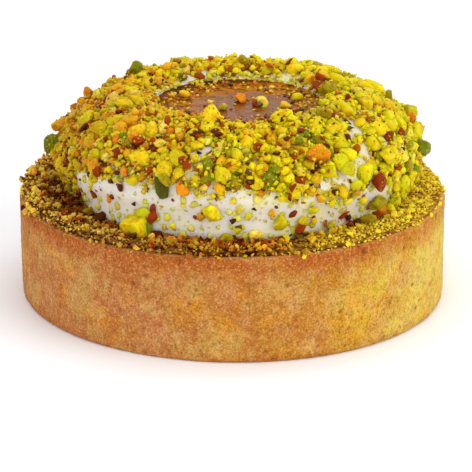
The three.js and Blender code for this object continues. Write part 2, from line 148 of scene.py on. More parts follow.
class Graph:
    """Adds nodes to one node tree and wires them, for shaders and geometry alike."""

    def __init__(self, tree: NodeTree) -> None:
        """Takes the tree that the nodes go into."""
        self.tree = tree

    def add(self, kind: str, inputs: dict[Any, Any] | None = None, **settings: Any) -> Node:
        """Adds a node.

        Args:
            kind: the node's type name.
            inputs: by socket name or number, a socket to link or a value to set.
            settings: the node's own properties.

        Returns:
            The node.
        """
        node = self.tree.nodes.new(kind)
        for key, value in settings.items():
            setattr(node, key, value)
        for key, value in (inputs or {}).items():
            self.feed(node.inputs[key], value)
        return node

    def result(self, kind: str, inputs: dict[Any, Any] | None = None, **settings: Any) -> Socket:
        """Adds a node and gives its first output."""
        return self.add(kind, inputs, **settings).outputs[0]

    def feed(self, socket: Socket, value: Any) -> None:
        """Links a socket to an input, or sets the input's value.

        Args:
            socket: the input.
            value: a socket or a value.
        """
        if isinstance(value, Socket):
            self.tree.links.new(value, socket)
        else:
            socket.default_value = value

    def math(self, operation: str, first: Any, second: Any = 0.0, clamp: bool = False) -> Socket:
        """Gives the result of Blender's named sum on one or two sockets or numbers, clamped if asked."""
        return self.result("ShaderNodeMath", {0: first, 1: second}, operation=operation, use_clamp=clamp)

    def times(self, first: Any, second: Any) -> Socket:
        """Gives the product of two values."""
        return self.math("MULTIPLY", first, second)

    def plus(self, first: Any, second: Any) -> Socket:
        """Gives the sum of two values."""
        return self.math("ADD", first, second)

    def minus(self, first: Any, second: Any) -> Socket:
        """Gives the first value less the second."""
        return self.math("SUBTRACT", first, second)

    def vector_math(self, operation: str, first: Any, second: Any = (0, 0, 0)) -> Socket:
        """Gives the result of Blender's named sum on vectors, or on a vector and a number for SCALE."""
        key = "Scale" if operation == "SCALE" else 1
        return self.result("ShaderNodeVectorMath", {0: first, key: second}, operation=operation)

    def mix(self, share: Any, first: Any, second: Any, blend: str = "MIX") -> Socket:
        """Mixes two colours by the share of the second and Blender's name of the way to mix."""
        node = self.add("ShaderNodeMix", {0: share, 6: first, 7: second}, data_type="RGBA", blend_type=blend)
        return node.outputs[2]

    def scaled(self, value: Any, low: float, high: float, to_low: float = 0, to_high: float = 1) -> Any:
        """Maps values from low to high smoothly onto the range from to_low to to_high."""
        values = {0: value, 1: low, 2: high, 3: to_low, 4: to_high}
        return self.result("ShaderNodeMapRange", values, interpolation_type="SMOOTHSTEP")

    def noise(self, vector: Any, size: Any, detail: float = 2.0, rough: float = 0.5) -> Socket:
        """Gives smooth noise from 0 to 1 with lumps of a size in metres.

        Args:
            vector: socket of the place.
            size: size of the lumps, a number or a socket.
            detail: how many finer layers it has.
            rough: how strong the finer layers are.

        Returns:
            The noise's socket.
        """
        scale = 1 / size if isinstance(size, float) else self.math("DIVIDE", 1.0, size)
        values = {"Vector": vector, "Scale": scale, "Detail": detail, "Roughness": rough}
        return self.result("ShaderNodeTexNoise", values)

    def cells(self, vector: Any, size: Any, output: str = "Distance") -> Socket:
        """Gives a pattern of cells of a size in metres: the way to a cell's middle, or its colour."""
        scale = 1 / size if isinstance(size, float) else self.math("DIVIDE", 1.0, size)
        return self.add("ShaderNodeTexVoronoi", {"Vector": vector, "Scale": scale}).outputs[output]

    def ramp(self, share: Any, stops: Stops, steps: bool = False) -> Socket:
        """Gives a colour from a row of them.

        Args:
            share: socket of the place in the row, 0 to 1.
            stops: the places and their colours.
            steps: whether each colour holds until the next.

        Returns:
            The colour's socket.
        """
        node = self.add("ShaderNodeValToRGB", {0: share})
        node.color_ramp.interpolation = "CONSTANT" if steps else "EASE"
        elements = node.color_ramp.elements
        while len(elements) < len(stops):
            elements.new(1.0)
        for element, (place, colour) in zip(elements, stops):
            element.position = place
            element.color = colour
        return node.outputs[0]

    def attribute(self, name: str) -> Socket:
        """Gives a mesh's named value as a shader sees it."""
        return self.add("ShaderNodeAttribute", attribute_name=name).outputs["Fac"]

    def stored(self, name: str) -> Socket:
        """Gives a mesh's named value as a tree of geometry nodes sees it."""
        return self.result("GeometryNodeInputNamedAttribute", {"Name": name}, data_type="FLOAT")

    def across(self, place: Any) -> Socket:
        """Gives how far a place is to the right."""
        return self.result("ShaderNodeSeparateXYZ", {0: place})

    def from_axis(self, place: Any) -> Socket:
        """Gives how far a place is from the upright axis."""
        flat = self.vector_math("MULTIPLY", place, (1.0, 1.0, 0.0))
        return self.add("ShaderNodeVectorMath", {0: flat}, operation="LENGTH").outputs["Value"]


class Group:
    """A node group with named inputs and outputs, built once."""

    def __init__(self, name: str, kind: str) -> None:
        """Starts an empty group.

        Args:
            name: the group's name.
            kind: the type name of its tree.
        """
        self.tree = bpy.data.node_groups.new(name, kind)
        self.graph = Graph(self.tree)
        self.inner = self.graph.add("NodeGroupInput")
        self.outer = self.graph.add("NodeGroupOutput")

    def takes(self, name: str, kind: str, default: Any = None) -> Socket:
        """Adds a named input.

        Args:
            name: the input's name.
            kind: the socket's type name, after NodeSocket.
            default: its value where nothing is given.

        Returns:
            The socket inside the group.
        """
        socket = self.tree.interface.new_socket(name, in_out="INPUT", socket_type="NodeSocket" + kind)
        if default is not None:
            socket.default_value = default
        return self.inner.outputs[name]

    def gives(self, name: str, kind: str, value: Socket) -> None:
        """Adds a named output and links it."""
        self.tree.interface.new_socket(name, in_out="OUTPUT", socket_type="NodeSocket" + kind)
        self.tree.links.new(value, self.outer.inputs[name])


class ShaderEffects:
    """The shader groups that more than one finish uses."""

    def __init__(self) -> None:
        """Builds each group once."""
        self.specks = self._specks()
        self.grain = self._grain()
        self.piece = self._piece()

    @staticmethod
    def _specks() -> NodeTree:
        """Builds round specks of a size, on some share of their cells.

        Returns:
            The group's tree.
        """
        group = Group("specks", "ShaderNodeTree")
        place = group.takes("Place", "Vector")
        size = group.takes("Size", "Float", 0.001)
        amount = group.takes("Amount", "Float", 0.2)
        g = group.graph
        near = g.scaled(g.cells(place, size), 0.34, 0.2)
        lot = g.result("ShaderNodeSeparateColor", {0: g.cells(place, size, "Color")})
        chosen = g.math("LESS_THAN", lot, amount)
        group.gives("Mask", "Float", g.times(near, chosen))
        return group.tree

    @staticmethod
    def _grain() -> NodeTree:
        """Builds fine irregular grain: its height for bump, and a mask of its hollows for painted shade.

        Returns:
            The group's tree.
        """
        group = Group("grain", "ShaderNodeTree")
        place = group.takes("Place", "Vector")
        size = group.takes("Size", "Float", 0.0005)
        g = group.graph
        coarse = g.noise(place, size, 4.0, 0.65)
        crumbs = g.cells(place, size)
        height = g.minus(coarse, g.times(crumbs, 0.35))
        group.gives("Height", "Float", height)
        group.gives("Hollow", "Float", g.scaled(height, 0.36, 0.14))
        return group.tree

    @staticmethod
    def _piece() -> NodeTree:
        """Builds the uneven colour of one chopped piece: mottled, with remains of its thin skin, and tinted
        by side, where the chopped nuts' darker left tint is painted shade.

        Returns:
            The group's tree.
        """
        group = Group("piece", "ShaderNodeTree")
        place = group.takes("Place", "Vector")
        own = group.takes("Own colour", "Color")
        tone = group.takes("Tone", "Float")
        skin = group.takes("Skin colour", "Color")
        amount = group.takes("Skin amount", "Float", 0.2)
        left = group.takes("Left tint", "Color")
        middle = group.takes("Middle tint", "Color")
        right = group.takes("Right tint", "Color")
        region = group.takes("Region colour", "Color")
        shared = group.takes("Region share", "Float", 0.0)
        contrast = group.takes("Contrast", "Float", 0.1)
        ripe = group.takes("Ripeness", "Float", 0.5)
        g = group.graph
        level = g.plus(1.0, g.times(g.scaled(tone, 0.0, 1.0, -1.0, 1.0), contrast))
        mottle = g.scaled(g.noise(place, 0.0009, 3.0), 0.3, 0.7, 0.9, 1.08)
        shaded = g.mix(1.0, own, mottle, "MULTIPLY")
        moved = g.vector_math("ADD", place, (0.005, 0.009, 0.002))
        blush = g.noise(moved, 0.0013, 2.0)
        riper = g.times(g.scaled(blush, 0.44, 0.66), ripe)
        shaded = g.mix(riper, shaded, g.mix(1.0, shaded, (0.82, 0.58, 0.4, 1.0), "MULTIPLY"))
        shaded = g.mix(1.0, g.mix(shared, shaded, region), level, "MULTIPLY")
        greener = g.times(g.scaled(blush, 0.46, 0.3), ripe)
        shaded = g.mix(greener, shaded, g.mix(1.0, shaded, (0.98, 1.2, 1.0, 1.0), "MULTIPLY"))
        # Tints by side, given by each finish; the chopped nuts' darker, browner left tint is painted shade.
        across = g.across(place)
        side = g.mix(g.scaled(across, -0.036, -0.014), left, middle)
        side = g.mix(g.scaled(across, 0.0, 0.032), side, right)
        shaded = g.mix(1.0, shaded, side, "MULTIPLY")
        above = g.minus(g.noise(place, 0.0016, 2.0), g.minus(0.78, g.times(amount, 0.4)))
        mask = g.math("MULTIPLY", above, 8.0, clamp=True)
        group.gives("Colour", "Color", g.mix(mask, shaded, skin))
        group.gives("Skin mask", "Float", mask)
        return group.tree


class Surface(Graph):
    """The graph of a material in the making, with its shader and the place on the object."""

    def __init__(self, name: str, effects: ShaderEffects) -> None:
        """Starts the material.

        Args:
            name: the material's name.
            effects: the shared groups.
        """
        self.material = bpy.data.materials.new(name)
        self.material.use_nodes = True
        super().__init__(self.material.node_tree)
        self.shader = self.tree.nodes["Principled BSDF"]
        self.place = self.add("ShaderNodeTexCoord").outputs["Object"]
        self.effects = effects

    def set(self, name: str, value: Any) -> None:
        """Sets an input of the shader, or links it."""
        self.feed(self.shader.inputs[name], value)

    def specks(self, place: Any, size: float, amount: float) -> Socket:
        """Gives a mask of round specks of a size in metres, on some share of their cells."""
        values = {"Place": place, "Size": size, "Amount": amount}
        return self.add("ShaderNodeGroup", values, node_tree=self.effects.specks).outputs["Mask"]

    def grain(self, size: float) -> Node:
        """Gives fine irregular grain of a size in metres."""
        return self.add("ShaderNodeGroup", {"Place": self.place, "Size": size}, node_tree=self.effects.grain)

    def bump(self, height: Any, depth: float) -> None:
        """Gives the shader a bump of a depth in metres."""
        node = self.add("ShaderNodeBump", {"Height": height, "Distance": depth, "Strength": 1.0})
        self.set("Normal", node.outputs[0])

    def translucent(self, weight: float, depth: float, radius: Triple) -> None:
        """Lets light into the material.

        Args:
            weight: the share of the light that goes in.
            depth: how deep it goes, in metres.
            radius: the depth's share for red, green and blue.
        """
        self.set("Subsurface Weight", weight)
        self.set("Subsurface Scale", depth)
        self.set("Subsurface Radius", radius)


@dataclass(frozen=True)
class Finish:
    """What every finish shares: a name, and how its material is made."""

    name: str

    def material(self, effects: ShaderEffects) -> Material:
        """Makes the material.

        Args:
            effects: the shared groups.

        Returns:
            The material.
        """
        surface = Surface(self.name, effects)
        self.dress(surface)
        return surface.material

    def dress(self, g: Surface) -> None:
        """Wires the material. Each finish has its own way."""
        raise NotImplementedError


@dataclass(frozen=True)
class PastryFinish(Finish):
    """Baked shortcrust: sandy and mottled, browner under the rim, with painted shade in its hollows and a
    painted highlight along the rim's top; brighter and yellower towards the right, partly uneven baking and
    partly painted light.
    """

    name: str = "baked_shortcrust"
    sides: Stops = row(
        (0.0, 180, 114, 62), (0.5, 178, 117, 43), (0.76, 181, 125, 32), (0.87, 201, 161, 34),
        (0.98, 212, 187, 76),
    )
    orange: Colour = srgb(168, 84, 24)
    pale: Colour = srgb(226, 190, 118)
    dark: Colour = srgb(112, 58, 24)
    golden: Colour = srgb(212, 140, 20)
    rosy: Colour = srgb(204, 136, 96)
    buff: Colour = srgb(196, 164, 88)
    rim_height: float = 19.6
    band_depth: float = 5.0

    def dress(self, g: Surface) -> None:
        """Wires the sand, the browning, the mottling, the pits, and the painted light and shade.

        Args:
            g: the material in the making.
        """
        place = g.place
        x, _, z = g.add("ShaderNodeSeparateXYZ", {0: place}).outputs
        # Brighter and yellower towards the right: partly uneven baking, partly painted light from the right.
        across = g.scaled(x, -0.038, 0.04)
        across = g.minus(across, g.scaled(z, 0.01, 0.018, 0.0, 0.08))
        side = g.ramp(across, self.sides)
        # Fewer orange patches, less browning and less dark sand towards the right: painted light.
        lit_side_calm = g.scaled(x, 0.024, 0.038, 1.0, 0.55)
        patches = g.scaled(g.noise(place, 0.0065, 4.0, 0.62), 0.42, 0.66, 0.0, 0.5)
        colour = g.mix(g.times(patches, lit_side_calm), side, self.orange)
        washes = ((0.021, self.golden, 0.5), (0.043, self.rosy, 0.3), (0.067, self.buff, 0.45))
        for shift, tone, most in washes:
            moved = g.vector_math("ADD", place, (shift, -shift, shift))
            share = g.scaled(g.noise(moved, 0.0055, 3.0, 0.55), 0.48, 0.66, 0.0, most)
            colour = g.mix(share, colour, tone)
        upright = g.vector_math("MULTIPLY", place, (1.0, 1.0, 0.3))
        most = g.scaled(x, 0.01, 0.036, 0.26, 0.5)
        streaks = g.scaled(g.noise(upright, 0.0016, 3.0, 0.6), 0.5, 0.76, 0.0, most)
        colour = g.mix(streaks, colour, self.pale)
        top = (self.rim_height - 0.6) * MM
        band = g.scaled(z, top - self.band_depth * MM, top, 0.0, 0.95)
        uneven = g.scaled(g.noise(place, 0.0045, 3.0), 0.3, 0.52, 0.7, 1.0)
        browned = g.times(g.times(band, uneven), lit_side_calm)
        colour = g.mix(browned, colour, self.orange)
        foot = g.scaled(z, 0.0025, 0.0, 0.0, 0.35)
        colour = g.mix(foot, colour, self.orange)
        # Paler along the rim's rounded top: a painted highlight.
        edge = g.scaled(z, top + 0.0002, top + 0.0006, 0.0, 0.2)
        colour = g.mix(edge, colour, self.pale)
        sand = g.noise(place, 0.00036, 2.0, 0.7)
        dark_sand = g.times(g.scaled(sand, 0.5, 0.3, 0.0, 0.62), lit_side_calm)
        colour = g.mix(dark_sand, colour, self.dark)
        colour = g.mix(g.scaled(sand, 0.52, 0.7, 0.0, 0.45), colour, self.pale)
        crumbly = g.noise(place, 0.0011, 3.0)
        colour = g.mix(g.scaled(crumbly, 0.5, 0.32, 0.0, 0.26), colour, self.dark)
        colour = g.mix(g.scaled(crumbly, 0.54, 0.7, 0.0, 0.16), colour, self.pale)
        moved = g.vector_math("ADD", place, (0.013, 0.007, 0.003))
        burnt = g.specks(moved, 0.0017, 0.06)
        rare = g.times(g.scaled(x, 0.0, 0.024, 1.0, 0.0), 0.25)
        colour = g.mix(g.times(burnt, rare), colour, self.dark)
        pits = g.specks(place, 0.00085, 0.2)
        colour = g.mix(g.times(pits, 0.3), colour, self.dark)
        # Darker in the relief's hollows: painted shade.
        painted_hollow_shade = g.scaled(g.attribute("relief"), -0.00006, -0.0003, 0.0, 0.7)
        colour = g.mix(painted_hollow_shade, colour, self.dark)
        g.set("Base Color", colour)
        g.set("Roughness", g.scaled(sand, 0.3, 0.7, 0.95, 0.75))
        g.set("Specular IOR Level", 0.1)
        g.bump(g.grain(0.00055).outputs["Height"], 0.00014)
        g.translucent(0.1, 0.0008, (1.0, 0.6, 0.3))


@dataclass(frozen=True)
class MealFinish(Finish):
    """The close brown ground nuts that show between the loose crumbs, with painted shade on the left and
    painted light on the right.
    """

    name: str = "packed_ground_nuts"
    light: Colour = srgb(144, 92, 26)
    dark: Colour = srgb(44, 10, 4)
    sunny: Colour = srgb(226, 184, 46)

    def dress(self, g: Surface) -> None:
        """Wires the mottling, with painted shade on the left and painted light on the right, and the grain.

        Args:
            g: the material in the making.
        """
        place = g.place
        grain = g.grain(0.0008)
        mottle = g.scaled(g.noise(place, 0.0011, 3.0), 0.35, 0.65)
        # Dark on the left and bright yellow on the right: painted shade and painted light.
        side = g.scaled(g.across(place), 0.0, 0.034)
        low = g.mix(side, self.dark, self.light)
        high = g.mix(side, self.light, self.sunny)
        colour = g.mix(mottle, low, high)
        # Darker in the grain's hollows: painted shade.
        colour = g.mix(g.times(grain.outputs["Hollow"], 0.6), colour, self.dark)
        g.set("Base Color", colour)
        g.set("Roughness", 0.9)
        g.set("Specular IOR Level", 0.08)
        g.bump(grain.outputs["Height"], 0.0003)


@dataclass(frozen=True)
class CreamFinish(Finish):
    """Whipped cream: soft, white, a little translucent, with fine green dust."""

    name: str = "whipped_cream"
    white: Colour = srgb(222, 212, 197)
    dust: Colour = srgb(176, 172, 70)
    tinge: Colour = srgb(228, 222, 142)
    meal: Stops = row(
        (0.0, 196, 176, 34), (0.35, 214, 186, 60), (0.55, 170, 122, 36), (0.72, 228, 212, 132),
        (0.82, 150, 140, 36), (0.92, 112, 52, 20),
    )

    def dress(self, g: Surface) -> None:
        """Wires the dust, the tinge and the meal where nuts cover the cream.

        Args:
            g: the material in the making.
        """
        place = g.place
        fine = g.specks(place, 0.0011, 0.3)
        colour = g.mix(g.times(fine, 0.7), self.white, self.dust)
        cloudy = g.scaled(g.noise(place, 0.0024, 4.0, 0.6), 0.44, 0.64, 0.0, 0.7)
        tinged = g.times(cloudy, g.scaled(g.across(place), -0.026, 0.012, 0.1, 1.0))
        colour = g.mix(tinged, colour, self.tinge)
        grains = g.result("ShaderNodeSeparateColor", {0: g.cells(place, 0.0006, "Color")})
        meal = g.ramp(grains, self.meal, steps=True)
        uneven = g.scaled(g.noise(place, 0.003, 3.0), 0.3, 0.7, -0.6, 0.2)
        patches = g.plus(g.attribute("cover"), uneven)
        colour = g.mix(g.scaled(patches, 0.45, 0.6), colour, meal)
        g.set("Base Color", colour)
        g.set("Roughness", g.scaled(g.noise(place, 0.002, 2.0), 0.3, 0.7, 0.42, 0.6))
        g.bump(g.noise(place, 0.0012, 4.0, 0.6), 0.00012)
        g.translucent(0.6, 0.004, (1.0, 0.8, 0.6))


@dataclass(frozen=True)
class PralineFinish(Finish):
    """Glossy set praline: brown, amber towards its edge, partly its own colour and partly a painted
    reflection of the nuts round the rim, with dark and golden nut specks and a painted shadow round its rim.
    """

    name: str = "nut_praline"
    brown: Colour = srgb(136, 74, 22)
    amber: Colour = srgb(182, 108, 4)
    dark: Colour = srgb(44, 16, 4)
    golden: Colour = srgb(212, 152, 44)
    middle: Pair = (0.0037, -0.004)

    def dress(self, g: Surface) -> None:
        """Wires the brown middle, the amber edge with its painted reflection, the specks, the painted shadow
        round the rim and the gloss.

        Args:
            g: the material in the making.
        """
        place = g.place
        length = g.from_axis(g.vector_math("SUBTRACT", place, (*self.middle, 0.0)))
        wander = g.times(g.noise(place, 0.006, 3.0), 0.007)
        away = g.plus(length, wander)
        # Amber towards the edge: partly the praline's own colour, partly a painted reflection of the orange
        # nuts round the rim.
        colour = g.mix(g.scaled(away, 0.0115, 0.0175), self.brown, self.amber)
        cloudy = g.scaled(g.noise(place, 0.0022, 4.0, 0.65), 0.42, 0.68)
        loose = g.scaled(away, 0.01, 0.018, 0.3, 0.9)
        colour = g.mix(g.times(cloudy, loose), colour, self.dark)
        pits = g.specks(place, 0.0008, 0.4)
        colour = g.mix(g.times(pits, 0.7), colour, self.dark)
        aside = g.vector_math("ADD", place, (0.011, 0.005, 0.002))
        bits = g.specks(aside, 0.0013, 0.22)
        share = g.times(bits, g.scaled(away, 0.009, 0.017, 0.3, 0.95))
        colour = g.mix(share, colour, self.golden)
        # A dark ring along the pool's rim: painted shadow of the cream wall and its nuts.
        colour = g.mix(g.scaled(length, 0.0171, 0.0184, 0.0, 0.8), colour, self.dark)
        g.set("Base Color", colour)
        g.set("Roughness", g.scaled(g.noise(place, 0.003, 3.0), 0.35, 0.7, 0.14, 0.3))
        g.set("Specular IOR Level", g.scaled(away, 0.011, 0.018, 0.21, 0.02))
        g.set("Specular Tint", (1.0, 0.8, 0.52, 1.0))
        height = g.minus(g.noise(place, 0.0024, 2.0, 0.5), g.times(pits, 0.3))
        g.bump(g.plus(height, share), 0.00016)
        g.translucent(0.1, 0.001, (1.0, 0.45, 0.15))


class Tone(Enum):
    """The colours that chopped pistachios come in, with their share among the pieces."""

    YELLOW_GREEN = (srgb(208, 200, 18), 0.34)
    YELLOW = (srgb(226, 204, 26), 0.2)
    GOLDEN = (srgb(218, 170, 24), 0.12)
    PALE = (srgb(228, 216, 104), 0.1)
    LIME = (srgb(178, 184, 14), 0.05)
    BROWN = (srgb(150, 84, 8), 0.08)
    ORANGE = (srgb(204, 134, 18), 0.04)
    OLIVE = (srgb(148, 138, 14), 0.06)
    GREEN = (srgb(112, 126, 14), 0.02)
    DARK_GREEN = (srgb(70, 80, 16), 0.01)
    RED_BROWN = (srgb(134, 50, 4), 0.03)
    DARK = (srgb(74, 28, 4), 0.01)

    def __init__(self, colour: Colour, share: float) -> None:
        """Takes the colour and its share."""
        self.colour = colour
        self.share = share

    @property
    def start(self) -> float:
        """Where this colour's stretch starts in the row of them all, before the row is brought to 1.

        Returns:
            The sum of the shares before this one.
        """
        before = 0.0
        for tone in Tone:
            if tone is self:
                break
            before += tone.share
        return before

    @property
    def place(self) -> float:
        """The middle of this colour's stretch in the row of them all."""
        return (self.start + self.share / 2) / Tone.total()

    @staticmethod
    def total() -> float:
        """The sum of all shares."""
        return sum(tone.share for tone in Tone)

    @staticmethod
    def stops() -> Stops:
        """The row of colours, each from its own start."""
        return tuple((tone.start / Tone.total(), tone.colour) for tone in Tone)


@dataclass(frozen=True)
class PieceFinish(Finish):
    """Chopped nut in a row of colours, picked by each piece's own tint."""

    name: str = "chopped_pistachio"
    stops: Stops = Tone.stops()
    left_stops: Stops | None = None
    skin: Colour = srgb(116, 50, 22)
    skin_amount: float = 0.25
    # Darker, browner tint on the left: painted shade on the side away from the key light.
    left: Colour = (0.86, 0.74, 0.53, 1.0)
    middle: Colour = (1.18, 1.03, 0.83, 1.0)
    right: Colour = (1.0, 0.97, 0.85, 1.0)
    region_size: float = 0.0055
    left_regions: Stops = row((0.39, 134, 60, 12), (0.48, 192, 128, 20), (0.6, 206, 184, 14))
    regions: Stops = row((0.36, 204, 150, 20), (0.44, 220, 196, 12), (0.6, 206, 202, 8))
    shared: float = 0.3
    shared_right: float = 0.6
    common: float = 0.75
    contrast: float = 0.1
    ripeness: float = 0.5
    rough: float = 0.5
    gloss: float = 0.15
    translucency: float = 0.8

    def dress(self, g: Surface) -> None:
        """Wires a piece's own colour, the tints of the regions, and the grain.

        Args:
            g: the material in the making.
        """
        place = g.place
        tint = g.attribute("tint")
        across = g.across(place)
        shared = g.scaled(across, -0.014, 0.03, self.shared, self.shared_right)
        patch = g.noise(place, self.region_size, 2.0)
        region = g.mix(
            g.scaled(across, -0.024, 0.008),
            g.ramp(patch, self.left_regions),
            g.ramp(patch, self.regions),
        )
        own = g.ramp(tint, self.stops, steps=True)
        if self.left_stops:
            own = g.mix(g.scaled(across, -0.022, 0.004), g.ramp(tint, self.left_stops, steps=True), own)
        values = {
            "Place": place,
            "Own colour": own,
            "Tone": g.attribute("tone"),
            "Skin colour": self.skin,
            "Skin amount": self.skin_amount,
            "Left tint": self.left,
            "Middle tint": self.middle,
            "Right tint": self.right,
            "Region colour": region,
            "Region share": g.times(g.math("LESS_THAN", tint, self.common), shared),
            "Contrast": self.contrast,
            "Ripeness": self.ripeness,
        }
        piece = g.add("ShaderNodeGroup", values, node_tree=g.effects.piece)
        g.set("Base Color", self.shaded(g, place, piece.outputs["Colour"]))
        g.set("Roughness", g.scaled(piece.outputs["Skin mask"], 0.0, 1.0, self.rough, self.rough + 0.2))
        g.bump(g.grain(0.0005).outputs["Height"], 0.00012)
        g.set("Specular IOR Level", self.gloss)
        g.set("Specular Tint", (1.0, 0.88, 0.5, 1.0))
        if self.translucency:
            g.translucent(self.translucency, 0.0018, (1.0, 0.62, 0.14))

    def shaded(self, g: Graph, place: Any, colour: Any) -> Any:
        """Gives a piece's colour by where it lies. A chopped nut's is the same everywhere."""
        return colour


CRUMB_STOPS = row(
    (0.0, 218, 158, 28), (0.22, 202, 138, 22), (0.4, 170, 92, 18), (0.54, 110, 50, 14),
    (0.64, 240, 198, 52), (0.76, 216, 164, 84), (0.83, 58, 20, 18), (0.93, 178, 174, 24),
)
LEFT_CRUMB_STOPS = row(
    (0.0, 160, 134, 62), (0.2, 140, 96, 38), (0.34, 186, 160, 70), (0.46, 104, 50, 24),
    (0.58, 58, 16, 12), (0.76, 150, 118, 84), (0.82, 150, 56, 22), (0.89, 126, 132, 40),
)
SKIN_STOPS = row(
    (0.0, 122, 46, 12), (0.4, 88, 30, 10), (0.65, 54, 20, 16), (0.8, 156, 80, 26),
    (0.92, 84, 66, 20),
)


@dataclass(frozen=True)
class CrumbFinish(PieceFinish):
    """Ground nuts: duller and browner than the chopped ones, with painted shade by the cream's foot and
    painted light on the right.
    """

    stops: Stops = CRUMB_STOPS
    left_stops: Stops = LEFT_CRUMB_STOPS
    left: Colour = (2.3, 2.0, 1.35, 1.0)
    middle: Colour = (1.44, 1.03, 0.75, 1.0)
    right: Colour = (1.7, 2.15, 1.0, 1.0)
    region_size: float = 0.0026
    left_regions: Stops = row((0.43, 52, 12, 3), (0.465, 120, 72, 28), (0.56, 176, 150, 62))
    regions: Stops = row((0.45, 50, 6, 2), (0.49, 134, 76, 22), (0.62, 196, 158, 52))
    shared: float = 0.55
    shared_right: float = 0.15
    common: float = 1.1
    contrast: float = 0.22
    rough: float = 0.8
    gloss: float = 0.08
    translucency: float = 0.6
    foot: float = 0.0336
    rim: float = 0.0362
    # Painted shade by the cream's foot, as a tint.
    foot_dark: Colour = (0.33, 0.13, 0.1, 1.0)
    sunny: Colour = srgb(252, 212, 52)

    def shaded(self, g: Graph, place: Any, colour: Any) -> Any:
        """Gives a crumb's colour: painted shade by the cream's foot, less of it on the lit side, and painted
        light that turns the right side bright yellow.

        Args:
            g: the material's graph.
            place: socket of the place.
            colour: socket of the crumb's own colour.

        Returns:
            The colour's socket.
        """
        # Painted shade under the cream's overhang, from the foot outward, less of it on the lit right.
        wander = g.times(g.minus(g.noise(place, 0.0034, 3.0), 0.5), 0.02)
        dark = g.scaled(g.plus(g.from_axis(place), wander), self.rim, self.foot)
        across = g.across(place)
        lit_side_calm = g.scaled(across, 0.012, 0.032, 1.0, 0.2)
        darker = g.mix(1.0, colour, self.foot_dark, "MULTIPLY")
        colour = g.mix(g.times(dark, lit_side_calm), colour, darker)
        # Bright yellow towards the right: painted light.
        return g.mix(g.scaled(across, 0.006, 0.03, 0.0, 0.9), colour, self.sunny)


CHUNK_STOPS = (
    (0.0, Tone.YELLOW_GREEN.colour), (0.42, Tone.YELLOW.colour), (0.66, Tone.GOLDEN.colour),
    (0.8, Tone.PALE.colour), (0.87, Tone.LIME.colour), (0.93, Tone.OLIVE.colour),
    (0.97, Tone.GREEN.colour),
)
CHIP_STOPS = (
    (0.0, Tone.YELLOW_GREEN.colour), (0.36, Tone.YELLOW.colour), (0.55, Tone.GOLDEN.colour),
    (0.64, Tone.PALE.colour), (0.72, Tone.LIME.colour), (0.76, Tone.BROWN.colour),
    (0.84, Tone.ORANGE.colour), (0.88, Tone.OLIVE.colour), (0.94, Tone.RED_BROWN.colour),
    (0.98, Tone.GREEN.colour),
)
LEFT_CHIP_STOPS = row(
    (0.0, 206, 196, 20), (0.26, 212, 150, 26), (0.42, 226, 208, 104), (0.5, 160, 86, 22),
    (0.64, 190, 176, 20), (0.76, 134, 46, 16), (0.84, 208, 124, 30), (0.91, 132, 132, 20),
    (0.96, 92, 30, 16),
)
SUNKEN_STOPS = row(
    (0.0, 208, 202, 92), (0.34, 222, 218, 142), (0.5, 196, 184, 60), (0.66, 230, 210, 118),
    (0.78, 162, 88, 40), (0.84, 120, 42, 20), (0.89, 212, 206, 72),
)
PRALINE_STOPS = row(
    (0.0, 206, 168, 30), (0.2, 104, 44, 16), (0.32, 176, 104, 22), (0.58, 226, 204, 110),
    (0.68, 56, 20, 12), (0.76, 204, 124, 28), (0.88, 208, 196, 40),
)


@dataclass(frozen=True)
class FlakeFinish(PieceFinish):
    """Loose flakes of the nuts' thin skin."""

    stops: Stops = SKIN_STOPS
    skin_amount: float = 0.1
    shared: float = 0.0
    shared_right: float = 0.0
    rough: float = 0.42
    translucency: float = 0.0


def plain_mesh(name: str, points: Array, faces: Sequence[Sequence[int]]) -> Mesh:
    """Makes a mesh from points in millimetres.

    Args:
        name: the mesh's name.
        points: the points, one row each.
        faces: the corners of each face, outward by the right hand.

    Returns:
        The mesh, in metres.
    """
    mesh = bpy.data.meshes.new(name)
    mesh.from_pydata((np.asarray(points) * MM).tolist(), [], [list(face) for face in faces])
    mesh.update()
    return mesh


def shown(mesh: Mesh) -> Object:
    """Puts a mesh in the scene.

    Args:
        mesh: the mesh.

    Returns:
        An object of the mesh's name.
    """
    piece = bpy.data.objects.new(mesh.name, mesh)
    bpy.context.scene.collection.objects.link(piece)
    return piece


def points_of(mesh: Mesh) -> Array:
    """Reads a mesh's points.

    Args:
        mesh: the mesh.

    Returns:
        The points in millimetres, one row each.
    """
    flat = np.zeros(len(mesh.vertices) * 3)
    mesh.vertices.foreach_get("co", flat)
    return flat.reshape(-1, 3) / MM


def normals_of(mesh: Mesh) -> Array:
    """Reads the way that each point of a mesh faces.

    Args:
        mesh: the mesh.

    Returns:
        The ways, one row each, of length 1.
    """
    flat = np.zeros(len(mesh.vertices) * 3, np.float32)
    mesh.vertex_normals.foreach_get("vector", flat)
    return flat.reshape(-1, 3)


def mark(mesh: Mesh, name: str, values: Array) -> None:
    """Stores a named value for each point of a mesh."""
    layer = mesh.attributes.new(name, "FLOAT", "POINT")
    layer.data.foreach_set("value", np.asarray(values, np.float32))


